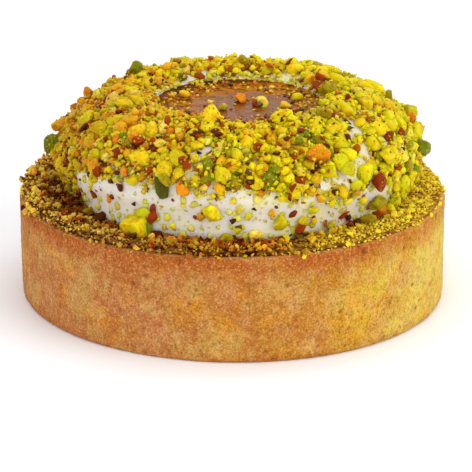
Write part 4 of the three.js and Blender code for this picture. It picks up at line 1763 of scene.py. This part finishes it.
LARGE_NUTS = (
    LargeNut(-121.5, 0.09, (4.8, 4.8, 4.0), Tone.YELLOW_GREEN, NutShape.CUBE, 12, -8),
    LargeNut(-120, 0.185, (3.0, 2.5, 1.6), Tone.LIME, spin=-6),
    LargeNut(-118, 0.085, (1.7, 3.7, 2.6), Tone.GREEN, spin=-4),
    LargeNut(-113.5, 0.33, (2.7, 4.8, 2.4), Tone.DARK_GREEN, spin=4),
    LargeNut(-112.4, 0.36, (1.6, 2.6, 2.3), Tone.OLIVE, spin=14),
    LargeNut(-116.5, 0.175, (1.8, 2.8, 1.4), Tone.RED_BROWN, NutShape.LEAF, -12),
    LargeNut(-115.6, 0.02, (2.2, 2.8, 1.8), Tone.RED_BROWN, spin=15),
    LargeNut(-107, 0.33, (2.4, 2.6, 2.0), Tone.ORANGE, spin=20),
    LargeNut(-98, 0.225, (3.1, 3.9, 2.4), Tone.YELLOW_GREEN, spin=10),
    LargeNut(-93.5, 0.06, (2.9, 3.9, 2.4), Tone.OLIVE, NutShape.LEAF),
    LargeNut(-77, 0.15, (2.7, 2.5, 1.8), Tone.LIME, spin=30),
    LargeNut(-70.5, 0.1, (2.2, 2.2, 1.4), Tone.RED_BROWN, spin=45),
    LargeNut(-42.5, 0.29, (2.7, 4.0, 2.2), Tone.RED_BROWN, NutShape.LEAF, -8),
    LargeNut(-40, 0.17, (3.2, 3.0, 2.4), Tone.OLIVE, spin=15),
    LargeNut(-33, 0.055, (4.3, 4.0, 4.2), Tone.ORANGE, NutShape.SHARD, -20),
    LargeNut(-62, 0.475, (4.2, 3.1, 2.4), Tone.ORANGE, spin=-15),
    LargeNut(-104.5, 0.8, (4.6, 3.4, 3.2), Tone.YELLOW, NutShape.SHARD, 12),
    LargeNut(-67.5, 0.8, (3.9, 3.4, 2.8), Tone.YELLOW_GREEN, spin=20),
    LargeNut(-63.5, 0.78, (3.0, 2.6, 2.0), Tone.YELLOW, spin=-15),
    LargeNut(-46.5, 0.73, (3.6, 2.6, 2.0), Tone.OLIVE, NutShape.LEAF, 80),
    LargeNut(-174, 0.31, (3.4, 3.8, 3.4), Tone.GREEN, spin=25),
    LargeNut(178, 0.37, (3.0, 3.0, 2.8), Tone.GOLDEN, spin=60),
    LargeNut(-7, 0.3, (3.0, 4.4, 2.6), Tone.GREEN, NutShape.LEAF, 10),
    LargeNut(4, 0.42, (3.3, 3.3, 3.0), Tone.LIME, spin=-30),
    LargeNut(-1, 0.42, (2.2, 2.4, 2.2), Tone.ORANGE, spin=20),
    LargeNut(143, 0.66, (3.2, 3.0, 3.4), Tone.GREEN, spin=20),
    LargeNut(138, 0.62, (3.0, 2.6, 2.8), Tone.OLIVE, spin=-30),
    LargeNut(24, 0.9, (4.2, 2.6, 2.8), Tone.RED_BROWN, NutShape.SHARD, 30),
    LargeNut(20, 0.93, (2.2, 4.6, 2.0), Tone.RED_BROWN, spin=65),
    LargeNut(27, 0.93, (1.8, 2.0, 2.4), Tone.ORANGE),
    LargeNut(-2, 0.9, (3.8, 3.2, 2.8), Tone.OLIVE, spin=50),
    LargeNut(-35.5, 0.375, (3.9, 3.5, 2.8), Tone.YELLOW_GREEN, spin=35),
    LargeNut(-53.5, 0.375, (2.9, 2.7, 2.0), Tone.LIME),
    LargeNut(-106.5, 0.6, (2.2, 1.7, 1.2), Tone.DARK, spin=30),
    LargeNut(-105, 0.58, (1.3, 1.2, 1.1), Tone.RED_BROWN, spin=5),
    LargeNut(-98, 0.62, (2.4, 1.8, 1.2), Tone.DARK, spin=-25),
    LargeNut(-108.5, 0.45, (1.7, 1.5, 1.1), Tone.RED_BROWN, spin=40),
    LargeNut(-106.5, 0.43, (1.6, 1.7, 1.1), Tone.RED_BROWN),
    LargeNut(-138, 0.33, (1.9, 1.9, 1.2), Tone.RED_BROWN, spin=20),
    LargeNut(-127, 0.51, (2.3, 2.0, 1.6), Tone.RED_BROWN, spin=15),
    LargeNut(-129.5, 0.52, (2.0, 1.8, 1.6), Tone.ORANGE, spin=50),
    LargeNut(-128, 0.29, (1.1, 1.5, 0.9), Tone.DARK, spin=20),
    LargeNut(-83, 0.54, (2.2, 2.0, 1.3), Tone.RED_BROWN, NutShape.LEAF, 35),
    LargeNut(-70.5, 0.36, (1.9, 2.2, 1.2), Tone.RED_BROWN, spin=-20),
    LargeNut(-86, 0.37, (1.7, 1.4, 1.0), Tone.DARK, spin=30),
    LargeNut(-59, 0.29, (1.7, 1.2, 0.9), Tone.DARK, spin=15),
    LargeNut(-20, 0.43, (1.9, 1.8, 1.2), Tone.RED_BROWN),
    LargeNut(-58, 0.08, (1.8, 1.7, 1.2), Tone.LIME, spin=20),
    LargeNut(-53, 0.02, (1.9, 1.8, 1.3), Tone.LIME, spin=50),
    LargeNut(-69.5, 0.15, (2.0, 1.9, 1.2), Tone.LIME),
    LargeNut(-66, 0.2, (1.7, 1.8, 1.1), Tone.LIME, spin=30),
    LargeNut(-84.5, 0.09, (2.7, 2.0, 1.2), Tone.PALE),
    LargeNut(-73, 0.31, (2.4, 2.3, 1.6), Tone.YELLOW_GREEN, spin=15),
    LargeNut(-79.5, 0.21, (1.4, 1.5, 0.8), Tone.GOLDEN),
    LargeNut(-53, 0.13, (0.9, 2.4, 0.8), Tone.RED_BROWN, spin=-50),
    LargeNut(-42.5, 0.05, (2.9, 2.8, 3.0), Tone.OLIVE, spin=25),
    LargeNut(-47, 0.05, (2.0, 1.9, 2.6), Tone.DARK, spin=10),
    # The red-brown piece at -38 degrees sits where the orange shard at -33 is shaded: partly a dark piece,
    # partly painted shade.
    LargeNut(-38, 0.06, (1.6, 2.4, 2.6), Tone.RED_BROWN, spin=-35),
    LargeNut(-50, 0.05, (1.5, 1.4, 2.0), Tone.RED_BROWN, spin=40),
    LargeNut(-137, 0.09, (2.1, 2.0, 2.6), Tone.DARK, spin=20),
    LargeNut(-115, 0.075, (2.0, 1.6, 2.6), Tone.DARK, spin=5),
    LargeNut(-145, 0.085, (2.4, 1.7, 2.6), Tone.OLIVE, spin=15),
    LargeNut(-90, 0.12, (1.5, 1.3, 0.9), Tone.LIME, spin=10),
    LargeNut(-87, 0.2, (1.3, 1.1, 0.8), Tone.LIME, spin=40),
    LargeNut(-76, 0.05, (2.2, 1.6, 1.2), Tone.YELLOW_GREEN, spin=20),
)


@dataclass
class CreamRing(Part):
    """The ring of cream and the chopped nuts on it."""

    node: str = "cream_ring"
    slot: str = "nutty_cream"
    relief: Relief = Relief(lump_size=0.008, lump_height=0.00035, grain_size=0.0022, grain_height=0.0001)
    outline: tuple[Pair, ...] = (
        (29.9, 19.6), (31.0, 22.4), (33.2, 26.6), (32.0, 31.0), (28.7, 34.6), (25.0, 36.9),
        (21.4, 37.9), (18.2, 37.8), (15.7, 36.9),
    )
    offset: float = 0.7
    waves: Waves = ((2, 0.3, 0.6), (3, 0.22, 2.1), (5, 0.12, 4.0))
    floor: float = 30.5
    floor_radius: float = 11.0
    nut_layer: float = 0.8
    bare_height: float = 29.3
    bare_fade: float = 1.2
    bare_drop: float = 3.0
    bare_drop_behind: float = 8.5
    bare_cover: Pair = (0.16, 0.2)
    ragged: Waves = ((9, 0.5, 1.0), (17, 0.45, 2.2), (31, 0.4, 0.3))
    thin_spots: tuple[Triple, ...] = (
        (165, 0.99, 2.6), (125, 0.92, 1.9), (113, 0.92, 1.8), (86, 0.92, 1.5), (56, 0.93, 1.6),
        (-38, 0.58, 2.7), (-40, 0.66, 1.9), (-44, 0.42, 2.7), (-50, 0.37, 2.3), (-56, 0.36, 2.5),
        (-61, 0.34, 1.9), (-23, 0.34, 2.2), (-32, 0.48, 1.5), (-102, 0.52, 1.6), (-94, 0.47, 1.2),
        (-105, 0.4, 1.5), (-97, 0.35, 1.5), (-12, 0.1, 1.5), (-37, 0.22, 1.8), (-20, 0.6, 1.6),
        (20, 0.5, 2.0), (48, 0.38, 2.2), (75, 0.45, 2.4), (104, 0.6, 1.8), (130, 0.4, 2.2),
        (-150, 0.62, 1.5),
    )
    skirt: float = 0.6
    skirt_most: float = 2.3
    skirt_side: float = -106.0
    skirt_heights: Pair = (26.0, 20.5)
    stand: float = 0.28
    carrying: float = 1.5
    slope_step: float = 0.002
    nut_step: float = 0.01
    well_shares: tuple[float, ...] = (0.1, 0.25, 0.5, 0.8, 1.0)
    turns: int = 300
    outline_rings: int = 72
    layers: tuple[Layer, ...] = (
        Layer(
            "chunky_pistachios",
            Chopper("chunk", width=0.85, thickness=0.65, kinds=14, soft=True, points=60, seed=31),
            PieceFinish("chunky_pistachio", stops=CHUNK_STOPS, skin_amount=0.15, common=0.93),
            spacing=2.4, sizes=(2.2, 4.3), stand=0.14, tilt=0.4, seed=31, highest=0.5,
            last_share=0.9, bare_share=0.0, left_share=0.4, back_share=2.2, edge_power=4.0,
        ),
        Layer(
            "chopped_pistachios",
            Chopper("chip", corners=9, thickness=0.62, kinds=18, soft=True, hardness=40.0, seed=32),
            PieceFinish("chopped_pistachio", stops=CHIP_STOPS, left_stops=LEFT_CHIP_STOPS),
            spacing=1.4, sizes=(1.2, 2.7), stand=0.16, seed=32, highest=0.9,
            last_share=0.98, bare_share=0.2, right_share=0.6,
        ),
        Layer(
            "small_pistachios",
            Chopper("bit", kinds=12, seed=33),
            PieceFinish("small_pistachio", left_stops=LEFT_CHIP_STOPS),
            spacing=0.9, sizes=(0.6, 1.6), tilt=0.7, seed=33, highest=1.0,
            last_share=1.12, bare_share=0.4, right_share=0.6, back_share=0.6, thin_share=0.15,
        ),
        Layer(
            "nut_skins",
            Chopper("skin", corners=9, width=0.75, thickness=0.5, kinds=12, smooth=False, seed=34),
            FlakeFinish("pistachio_skin"),
            spacing=1.75, sizes=(0.7, 2.0), stand=0.14, tilt=0.5, seed=34, highest=1.2,
            last_share=1.0, bare_share=0.5, right_share=0.5, back_share=0.45,
        ),
        Layer(
            "sunken_bits",
            Chopper(
                "sunken_bit", corners=5, width=0.9, thickness=0.45, kinds=10, soft=True, points=36,
                hardness=8.0, seed=36,
            ),
            PieceFinish("sunken_bit", stops=SUNKEN_STOPS, skin_amount=0.1, shared=0.0, shared_right=0.0),
            spacing=1.75, sizes=(0.7, 2.0), stand=0.0, tilt=0.2, seed=36, highest=0.3,
            on_bare=True,
        ),
        Layer(
            "pistachio_dust",
            Chopper("dust", corners=7, seed=35),
            PieceFinish("pistachio_dust", skin_amount=0.3),
            spacing=0.7, sizes=(0.3, 0.65), stand=0.12, tilt=0.8, seed=35, last_share=1.3,
            bare_share=0.5, right_share=0.55, back_share=0.6, thin_share=0.45, highest=3.4,
        ),
    )

    def curve(self, share: Array) -> Array:
        """Gives the outline as a smooth curve from the foot to the lip.

        Args:
            share: shares of the way along it.

        Returns:
            The radius and height at each share.
        """
        points = np.array(self.outline)
        last = len(points) - 1
        place = np.clip(share, 0, 1) * last
        index = np.minimum(place.astype(int), last - 1)
        w = (place - index)[..., None]
        before, start, end, after = (points[np.clip(index + step, 0, last)] for step in (-1, 0, 1, 2))
        go, stop = (end - before) / 2, (after - start) / 2
        cubic = (2 * start - 2 * end + go + stop) * w**3
        return cubic + (-3 * start + 3 * end - 2 * go - stop) * w**2 + go * w + start

    def slope(self, share: Array) -> Array:
        """Gives the way that the outline runs at each share, of length 1."""
        return unit(self.curve(share + self.slope_step) - self.curve(share - self.slope_step))

    def spread(self, angle: Array, height: Array) -> Array:
        """Gives how far the cream's foot spreads outward, most at one side of the front."""
        side = ease(0.62, 0.95, np.cos(angle - math.radians(self.skirt_side)))
        return (self.skirt + self.skirt_most * side) * ease(*self.skirt_heights, height)

    def coverage(self, angle: Array, height: Array) -> Array:
        """Gives the share of the cream that nuts cover: all above a height, little below it.

        Args:
            angle: angles round the ring.
            height: heights on it.

        Returns:
            The shares.
        """
        side = ease(0.2, 0.95, np.cos(angle + 0.4))
        back = ease(-0.56, -0.4, np.sin(angle))
        edge = self.bare_height - self.bare_drop * side - self.bare_drop_behind * back
        edge = wavy(edge, angle, self.ragged)
        above = np.clip((height - edge + self.bare_fade) / (2 * self.bare_fade), 0, 1)
        above = above * above * (3 - 2 * above)
        low = self.bare_cover[0] + self.bare_cover[1] * side
        return low + (1 - low) * above

    def points(self, angle: Array, share: Array, layer: float = 0.0) -> Array:
        """Gives points on the cream.

        Args:
            angle: angles round the ring.
            share: shares of the outline.
            layer: depth of a layer of nuts over it, where they cover it.

        Returns:
            The points in millimetres, by axis last.
        """
        line, slope = self.curve(share), self.slope(share)
        swell = wavy(layer * self.coverage(angle, line[..., 1]), angle, self.waves)
        swell = swell * ease(0.0, 0.2, share) * ease(1.0, 0.85, share)
        r = line[..., 0] + slope[..., 1] * swell + self.spread(angle, line[..., 1])
        return around(angle, r, line[..., 1] - slope[..., 0] * swell, self.offset)

    def thinning(self, places: Array) -> Array:
        """Gives how much of the cover is left, by the spots where it is thin.

        Args:
            places: points in millimetres, one row each.

        Returns:
            The share that is left at each point.
        """
        left = np.ones(len(places))
        x, y, z = places.T
        ragged = 1 + 0.4 * np.sin(1.9 * x + 1.1 * z + 1.3) * np.sin(2.1 * y - 0.8 * x + 0.7)
        for degrees, share, reach in self.thin_spots:
            middle = self.points(np.array(math.radians(degrees)), np.array(share), self.nut_layer)
            left *= ease(reach * 0.6, reach, ragged * np.linalg.norm(places - middle, axis=1))
        return left

    def rings(self) -> Array:
        """Gives the cream's points: under its foot, up its outline and down into the well.

        Returns:
            The points by ring, by turn, by axis.
        """
        angle = circle(self.turns)
        (_, foot), (lip, brink) = self.outline[0], self.outline[-1]
        rows = [around(angle, r, foot, self.offset) for r in (2.0, 20.0)]
        rows += [self.points(angle, np.full_like(angle, s)) for s in np.linspace(0, 1, self.outline_rings)]
        for share in self.well_shares:
            r = lip + (self.floor_radius - lip) * share
            rows.append(around(angle, r, brink + (self.floor - brink) * share, self.offset))
        rows.append(around(angle, 2.0, self.floor, self.offset))
        return np.stack(rows)

    def locate(self, places: Array) -> tuple[Array, Array, Array]:
        """Finds points relative to the cream.

        Args:
            places: points in millimetres, one row each.

        Returns:
            Their angles, their nearest shares of the outline, and their heights over the cream.
        """
        x, y = places[:, 0] - self.offset, places[:, 1]
        angle = np.arctan2(y, x)
        shares = np.linspace(0, 1, 90)
        line = self.curve(shares)
        flat = np.stack([np.hypot(x, y) - self.spread(angle, places[:, 2]), places[:, 2]], axis=1)
        gaps = flat[:, None, :] - line[None, :, :]
        nearest = (gaps**2).sum(axis=2).argmin(axis=1)
        gap = gaps[np.arange(len(places)), nearest]
        way = self.slope(shares)[nearest]
        return angle, shares[nearest], gap[:, 0] * way[:, 1] - gap[:, 1] * way[:, 0]

    def build(self, shop: Workshop) -> list[Object]:
        """Builds and dresses the cream and its nuts.

        Args:
            shop: the shared rules.

        Returns:
            The pieces.
        """
        mesh = revolved("cream_core", self.rings())
        places = points_of(mesh)
        angle, share, _ = self.locate(places)
        mark(mesh, "keep", ease(0.0, 0.05, share) * ease(1.0, 0.9, share))
        mark(mesh, "cover", self.coverage(angle, places[:, 2]) * self.thinning(places))
        below = [self.relief.apply(shop, "cream", mesh, CreamFinish()), self.large_nuts(shop)]
        pieces = [self.finished(shop, part) for part in below]
        for layer in self.layers:
            pieces.append(self.cover(shop, below, layer))
            if layer.sizes[1] > self.carrying:
                below.append(pieces[-1].data)
        return pieces

    def share(self, mesh: Mesh, layer: Layer) -> Array:
        """Gives where nuts may lie on a surface, by how much of the cream they cover there.

        Args:
            mesh: the surface.
            layer: the layer.

        Returns:
            The share of the layer's density at each point.
        """
        places = points_of(mesh)
        angle, share, height = self.locate(places)
        line, slope = self.curve(share), self.slope(share)
        out = around(angle, slope[:, 1], -slope[:, 0])
        facing = ease(0.0, 0.4, (normals_of(mesh) * out).sum(axis=1))
        sunk = (share > 0.98) & (places[:, 2] < self.outline[-1][1] - 1.1)
        lip = layer.last_share - 0.2 * ease(-0.2, -0.7, np.sin(angle))
        clear = ease(0.03, 0.06, share) * ~sunk * (share < lip)
        low = (height > -1.6) * ease(layer.highest + 0.4, layer.highest, height)
        left = self.thinning(places)
        cover = self.coverage(angle, line[:, 1]) * (left + (1 - left) * layer.thin_share)
        if layer.on_bare:
            return facing * clear * low * np.clip(1.25 - cover, 0, 0.8)
        side = 1 + (layer.right_share - 1) * ease(0.0, 22.0, places[:, 0])
        side *= 1 + (layer.left_share - 1) * ease(-6.0, -24.0, places[:, 0])
        side *= 1 + (layer.back_share - 1) * ease(-4.0, 12.0, places[:, 1])
        covered = np.where(cover < 0.4, cover * layer.bare_share, cover)
        return facing * clear * low * side * covered**layer.edge_power

    def large_nuts(self, shop: Workshop) -> Mesh:
        """Builds the nuts that stand out, each in its place on the ring.

        Args:
            shop: the shared rules.

        Returns:
            All of them as one mesh.
        """
        chopper = Chopper(
            "large",
            corners=11, width=1.0, thickness=1.0, soft=True, points=420, hardness=38.0,
            depths=(0.26, 0.43), dents=0.022, seed=41,
        )
        nuts = Gathering()
        for number, nut in enumerate(LARGE_NUTS):
            nuts.add(self.nut_form(nut, chopper, number), self.nut_place(nut), nut.tone)
        look = PieceFinish("large_pistachio", skin_amount=0.1, shared=0.12, shared_right=0.12, ripeness=0.9)
        return nuts.mesh("large_pistachios", look.material(shop.effects))

    @staticmethod
    def nut_form(nut: LargeNut, chopper: Chopper, number: int) -> BMesh:
        """Makes a large nut of unit size in its own form.

        Args:
            nut: the nut.
            chopper: makes the chunks.
            number: tells the nuts apart.

        Returns:
            Its mesh.
        """
        if nut.shape is NutShape.CHUNK:
            return chopper.piece(number)
        if nut.shape is NutShape.CUBE:
            return chopper.cube(number)
        if nut.shape is NutShape.SHARD:
            return chopper.shard(number)
        made = chopper.piece(number)
        for vert in made.verts:
            vert.co.x *= 1 - 0.7 * max(vert.co.y, 0)
        return made

    def nut_place(self, nut: LargeNut) -> Matrix:
        """Gives the size, turn and place of a large nut, in metres.

        Args:
            nut: the nut.

        Returns:
            The matrix that takes it there from unit size.
        """
        def surface(turn: float, rise: float) -> Array:
            """The surface near the nut, this far round and up from it."""
            angle = np.array(math.radians(nut.degrees)) + turn
            return self.points(angle, np.array(nut.share) + rise, self.nut_layer)

        step = self.nut_step
        middle = surface(0, 0)
        along = surface(step, 0) - surface(-step, 0)
        up = surface(0, step) - surface(0, -step)
        along /= np.linalg.norm(along)
        out = np.cross(along, up)
        out /= np.linalg.norm(out)
        axes = Matrix([along, np.cross(out, along), out]).transposed().to_4x4()
        place = Vector(middle + out * self.stand * nut.size[2]) * MM
        yaw = Matrix.Rotation(math.radians(nut.yaw), 4, "Y")
        spin = Matrix.Rotation(math.radians(nut.spin), 4, "Z") @ yaw
        return Matrix.Translation(place) @ axes @ spin @ Matrix.Diagonal([*(s * MM for s in nut.size), 1.0])


@dataclass
class Praline(Part):
    """The praline in the well, with the nut bits that lie on it."""

    node: str = "praline"
    slot: str = "praline"
    relief: Relief = Relief(lump_size=0.005, lump_height=0.00012, grain_size=0.0012, grain_height=0.00005)
    offset: float = 0.7
    level: float = 36.5
    dip: float = 0.3
    meniscus: float = 1.6
    radius: float = 15.38
    floor: float = 30.8
    floor_radius: float = 10.7
    turns: int = 220
    top_rings: int = 44
    least_radius: float = 1.5
    sparse: float = 0.12
    sparse_radii: Pair = (7.5, 13.0)
    layers: tuple[Layer, ...] = (
        Layer(
            "praline_bits",
            Chopper("praline_bit", corners=9, seed=51),
            PieceFinish(
                "praline_bit", stops=PRALINE_STOPS, shared=0.0, shared_right=0.0, rough=0.16,
                gloss=0.6, translucency=0.3,
            ),
            spacing=0.95, sizes=(0.35, 1.5), stand=0.1, seed=51,
        ),
    )
    nuts: tuple[tuple[float, float, Triple, Tone], ...] = (
        (0.9, 56, (2.8, 2.4, 2.2), Tone.ORANGE),
        (4.6, -24, (3.2, 2.6, 2.2), Tone.PALE),
        (4.4, -36, (2.2, 1.6, 1.5), Tone.RED_BROWN),
        (9.4, -22, (2.1, 1.6, 1.5), Tone.GOLDEN),
        (11.4, 12, (2.2, 2.0, 1.7), Tone.YELLOW_GREEN),
        (5.6, -118, (2.0, 1.6, 1.3), Tone.OLIVE),
        (10.8, 160, (2.0, 1.6, 1.4), Tone.GOLDEN),
    )

    def rings(self) -> Array:
        """Gives the praline's points, from its floor to its surface with the edge drawn up.

        Returns:
            The points by ring, by turn, by axis.
        """
        flat = self.level - self.dip
        rows = [(self.least_radius, self.floor), (self.floor_radius, self.floor), (self.radius, self.level)]
        for r in np.linspace(self.radius, self.least_radius, self.top_rings)[1:]:
            rise = self.dip * 0.9 * float(ease(self.radius - self.meniscus, self.radius, np.array(r)))
            rows.append((r, flat + rise))
        return np.stack([around(circle(self.turns), r, z, self.offset) for r, z in rows])

    def build(self, shop: Workshop) -> list[Object]:
        """Builds and dresses the praline and its bits.

        Args:
            shop: the shared rules.

        Returns:
            The pieces.
        """
        mesh = revolved("praline_core", self.rings())
        places = points_of(mesh)
        across = np.hypot(places[:, 0] - self.offset, places[:, 1])
        on_top = places[:, 2] > self.level - self.dip - 0.1
        mark(mesh, "keep", on_top * ease(self.radius, self.radius - 1.0, across))
        pool = self.relief.apply(shop, "praline_pool", mesh, PralineFinish())
        pieces = [self.finished(shop, part) for part in (pool, self.large_bits(shop))]
        pieces += [self.cover(shop, [pool], layer) for layer in self.layers]
        return pieces

    def share(self, mesh: Mesh, layer: Layer) -> Array:
        """Gives where bits may lie: on top, and few in the middle.

        Args:
            mesh: the surface.
            layer: the layer; not used.

        Returns:
            The share of the layer's density at each point.
        """
        places = points_of(mesh)
        away = np.hypot(places[:, 0] - self.offset, places[:, 1])
        shows = (places[:, 2] > self.level - self.dip - 0.2) * (away < self.radius - 0.4)
        return shows * (self.sparse + (1 - self.sparse) * ease(*self.sparse_radii, away))

    def large_bits(self, shop: Workshop) -> Mesh:
        """Builds the larger nuts that lie on the praline.

        Args:
            shop: the shared rules.

        Returns:
            All of them as one mesh.
        """
        chopper = Chopper(
            "praline_nut", corners=9, width=1.0, thickness=1.0, soft=True, points=200, dents=0.02, seed=61
        )
        nuts = Gathering()
        for number, (distance, degrees, size, tone) in enumerate(self.nuts):
            angle = math.radians(degrees)
            x, y = self.offset + distance * math.cos(angle), distance * math.sin(angle)
            place = Vector((x, y, self.level + 0.15 * size[2])) * MM
            turn = Matrix.Translation(place) @ Matrix.Rotation(angle, 4, "Z")
            nuts.add(chopper.piece(number), turn @ Matrix.Diagonal([*(s * MM for s in size), 1.0]), tone)
        return nuts.mesh("praline_nuts", PieceFinish("praline_nut", rough=0.35).material(shop.effects))


@dataclass(frozen=True)
class Lamp:
    """A soft square light that faces the tart. Lengths in metres, power in watts."""

    name: str
    place: Triple
    size: float
    power: float
    colour: Triple = (1.0, 1.0, 1.0)
    target: Triple = (0.0, 0.0, 0.02)

    def build(self) -> None:
        """Hangs the light in its place."""
        data = bpy.data.lights.new(self.name, "AREA")
        data.size = self.size
        data.energy = self.power
        data.color = self.colour
        lamp = bpy.data.objects.new(self.name, data)
        lamp.location = self.place
        toward = Vector(self.target) - Vector(self.place)
        lamp.rotation_euler = toward.to_track_quat("-Z", "Y").to_euler()
        bpy.context.scene.collection.objects.link(lamp)


@dataclass
class Studio:
    """The camera, the floor and the lights. Lengths in metres."""

    elevation: float = 19.1
    distance: float = 0.45
    aim: Triple = (0.00034, 0.0, 0.00987)
    lens: float = 180.4
    floor_size: float = 6.0
    world_light: float = 0.8
    world_colour: Colour = (0.96, 0.97, 1.0, 1.0)
    floor_colour: Colour = (0.96, 0.96, 0.96, 1.0)
    floor_rough: float = 0.9
    floor_drop: float = 0.02 * MM
    sensor: float = 36.0
    nearest: float = 0.01
    lamps: tuple[Lamp, ...] = (
        Lamp("key", (0.42, -0.28, 0.26), 0.42, 1.35, (1.0, 0.98, 0.93)),
        Lamp("front", (-0.18, -0.6, 0.12), 0.5, 1.0),
        Lamp("left", (-0.42, -0.3, 0.1), 0.4, 0.34, (1.0, 0.99, 0.97)),
        Lamp("top", (0.06, 0.1, 0.6), 0.5, 0.95),
    )

    def camera(self) -> None:
        """Sets the camera at the photo's angle."""
        data = bpy.data.cameras.new("camera")
        data.lens = self.lens
        data.sensor_width = self.sensor
        data.clip_start = self.nearest
        camera = bpy.data.objects.new("camera", data)
        angle = math.radians(self.elevation)
        away = Vector((0, -math.cos(angle), math.sin(angle)))
        camera.location = Vector(self.aim) + away * self.distance
        camera.rotation_euler = (math.pi / 2 - angle, 0, 0)
        bpy.context.scene.collection.objects.link(camera)
        bpy.context.scene.camera = camera

    def floor(self) -> None:
        """Lays a plain pale floor."""
        half = self.floor_size / 2 / MM
        drop = self.floor_drop / MM
        corners = [(x * half, y * half, -drop) for x, y in ((-1, -1), (1, -1), (1, 1), (-1, 1))]
        mesh = plain_mesh("floor", np.array(corners), [(0, 1, 2, 3)])
        material = bpy.data.materials.new("pale_floor")
        material.use_nodes = True
        shader = material.node_tree.nodes["Principled BSDF"]
        shader.inputs["Base Color"].default_value = self.floor_colour
        shader.inputs["Roughness"].default_value = self.floor_rough
        mesh.materials.append(material)
        shown(mesh)

    def world(self) -> None:
        """Makes the surroundings white for the camera, and softer as a light."""
        world = bpy.data.worlds.new("studio")
        bpy.context.scene.world = world
        world.use_nodes = True
        graph = Graph(world.node_tree)
        light = graph.add("ShaderNodeBackground", {"Color": self.world_colour, "Strength": self.world_light})
        backdrop = graph.add("ShaderNodeBackground", {"Color": (1.0, 1.0, 1.0, 1.0), "Strength": 1.0})
        seen = graph.add("ShaderNodeLightPath").outputs["Is Camera Ray"]
        both = graph.add("ShaderNodeMixShader", {0: seen, 1: light.outputs[0], 2: backdrop.outputs[0]})
        graph.feed(world.node_tree.nodes["World Output"].inputs["Surface"], both.outputs[0])

    def build(self) -> None:
        """Sets up the whole studio."""
        self.camera()
        self.floor()
        self.world()
        for lamp in self.lamps:
            lamp.build()
        view = bpy.context.scene.view_settings
        view.view_transform = "Standard"
        view.look = "None"


def main() -> None:
    """Builds the studio and the tart's parts in order."""
    logging.basicConfig(level=logging.INFO, format="%(name)s: %(message)s")
    Studio().build()
    shop = Workshop()
    for part in (PastryCase(), NutBed(), CreamRing(), Praline()):
        made = part.build(shop)
        log.info("%s: %d pieces", type(part).__name__, len(made))


if __name__ == "__main__":
    main()
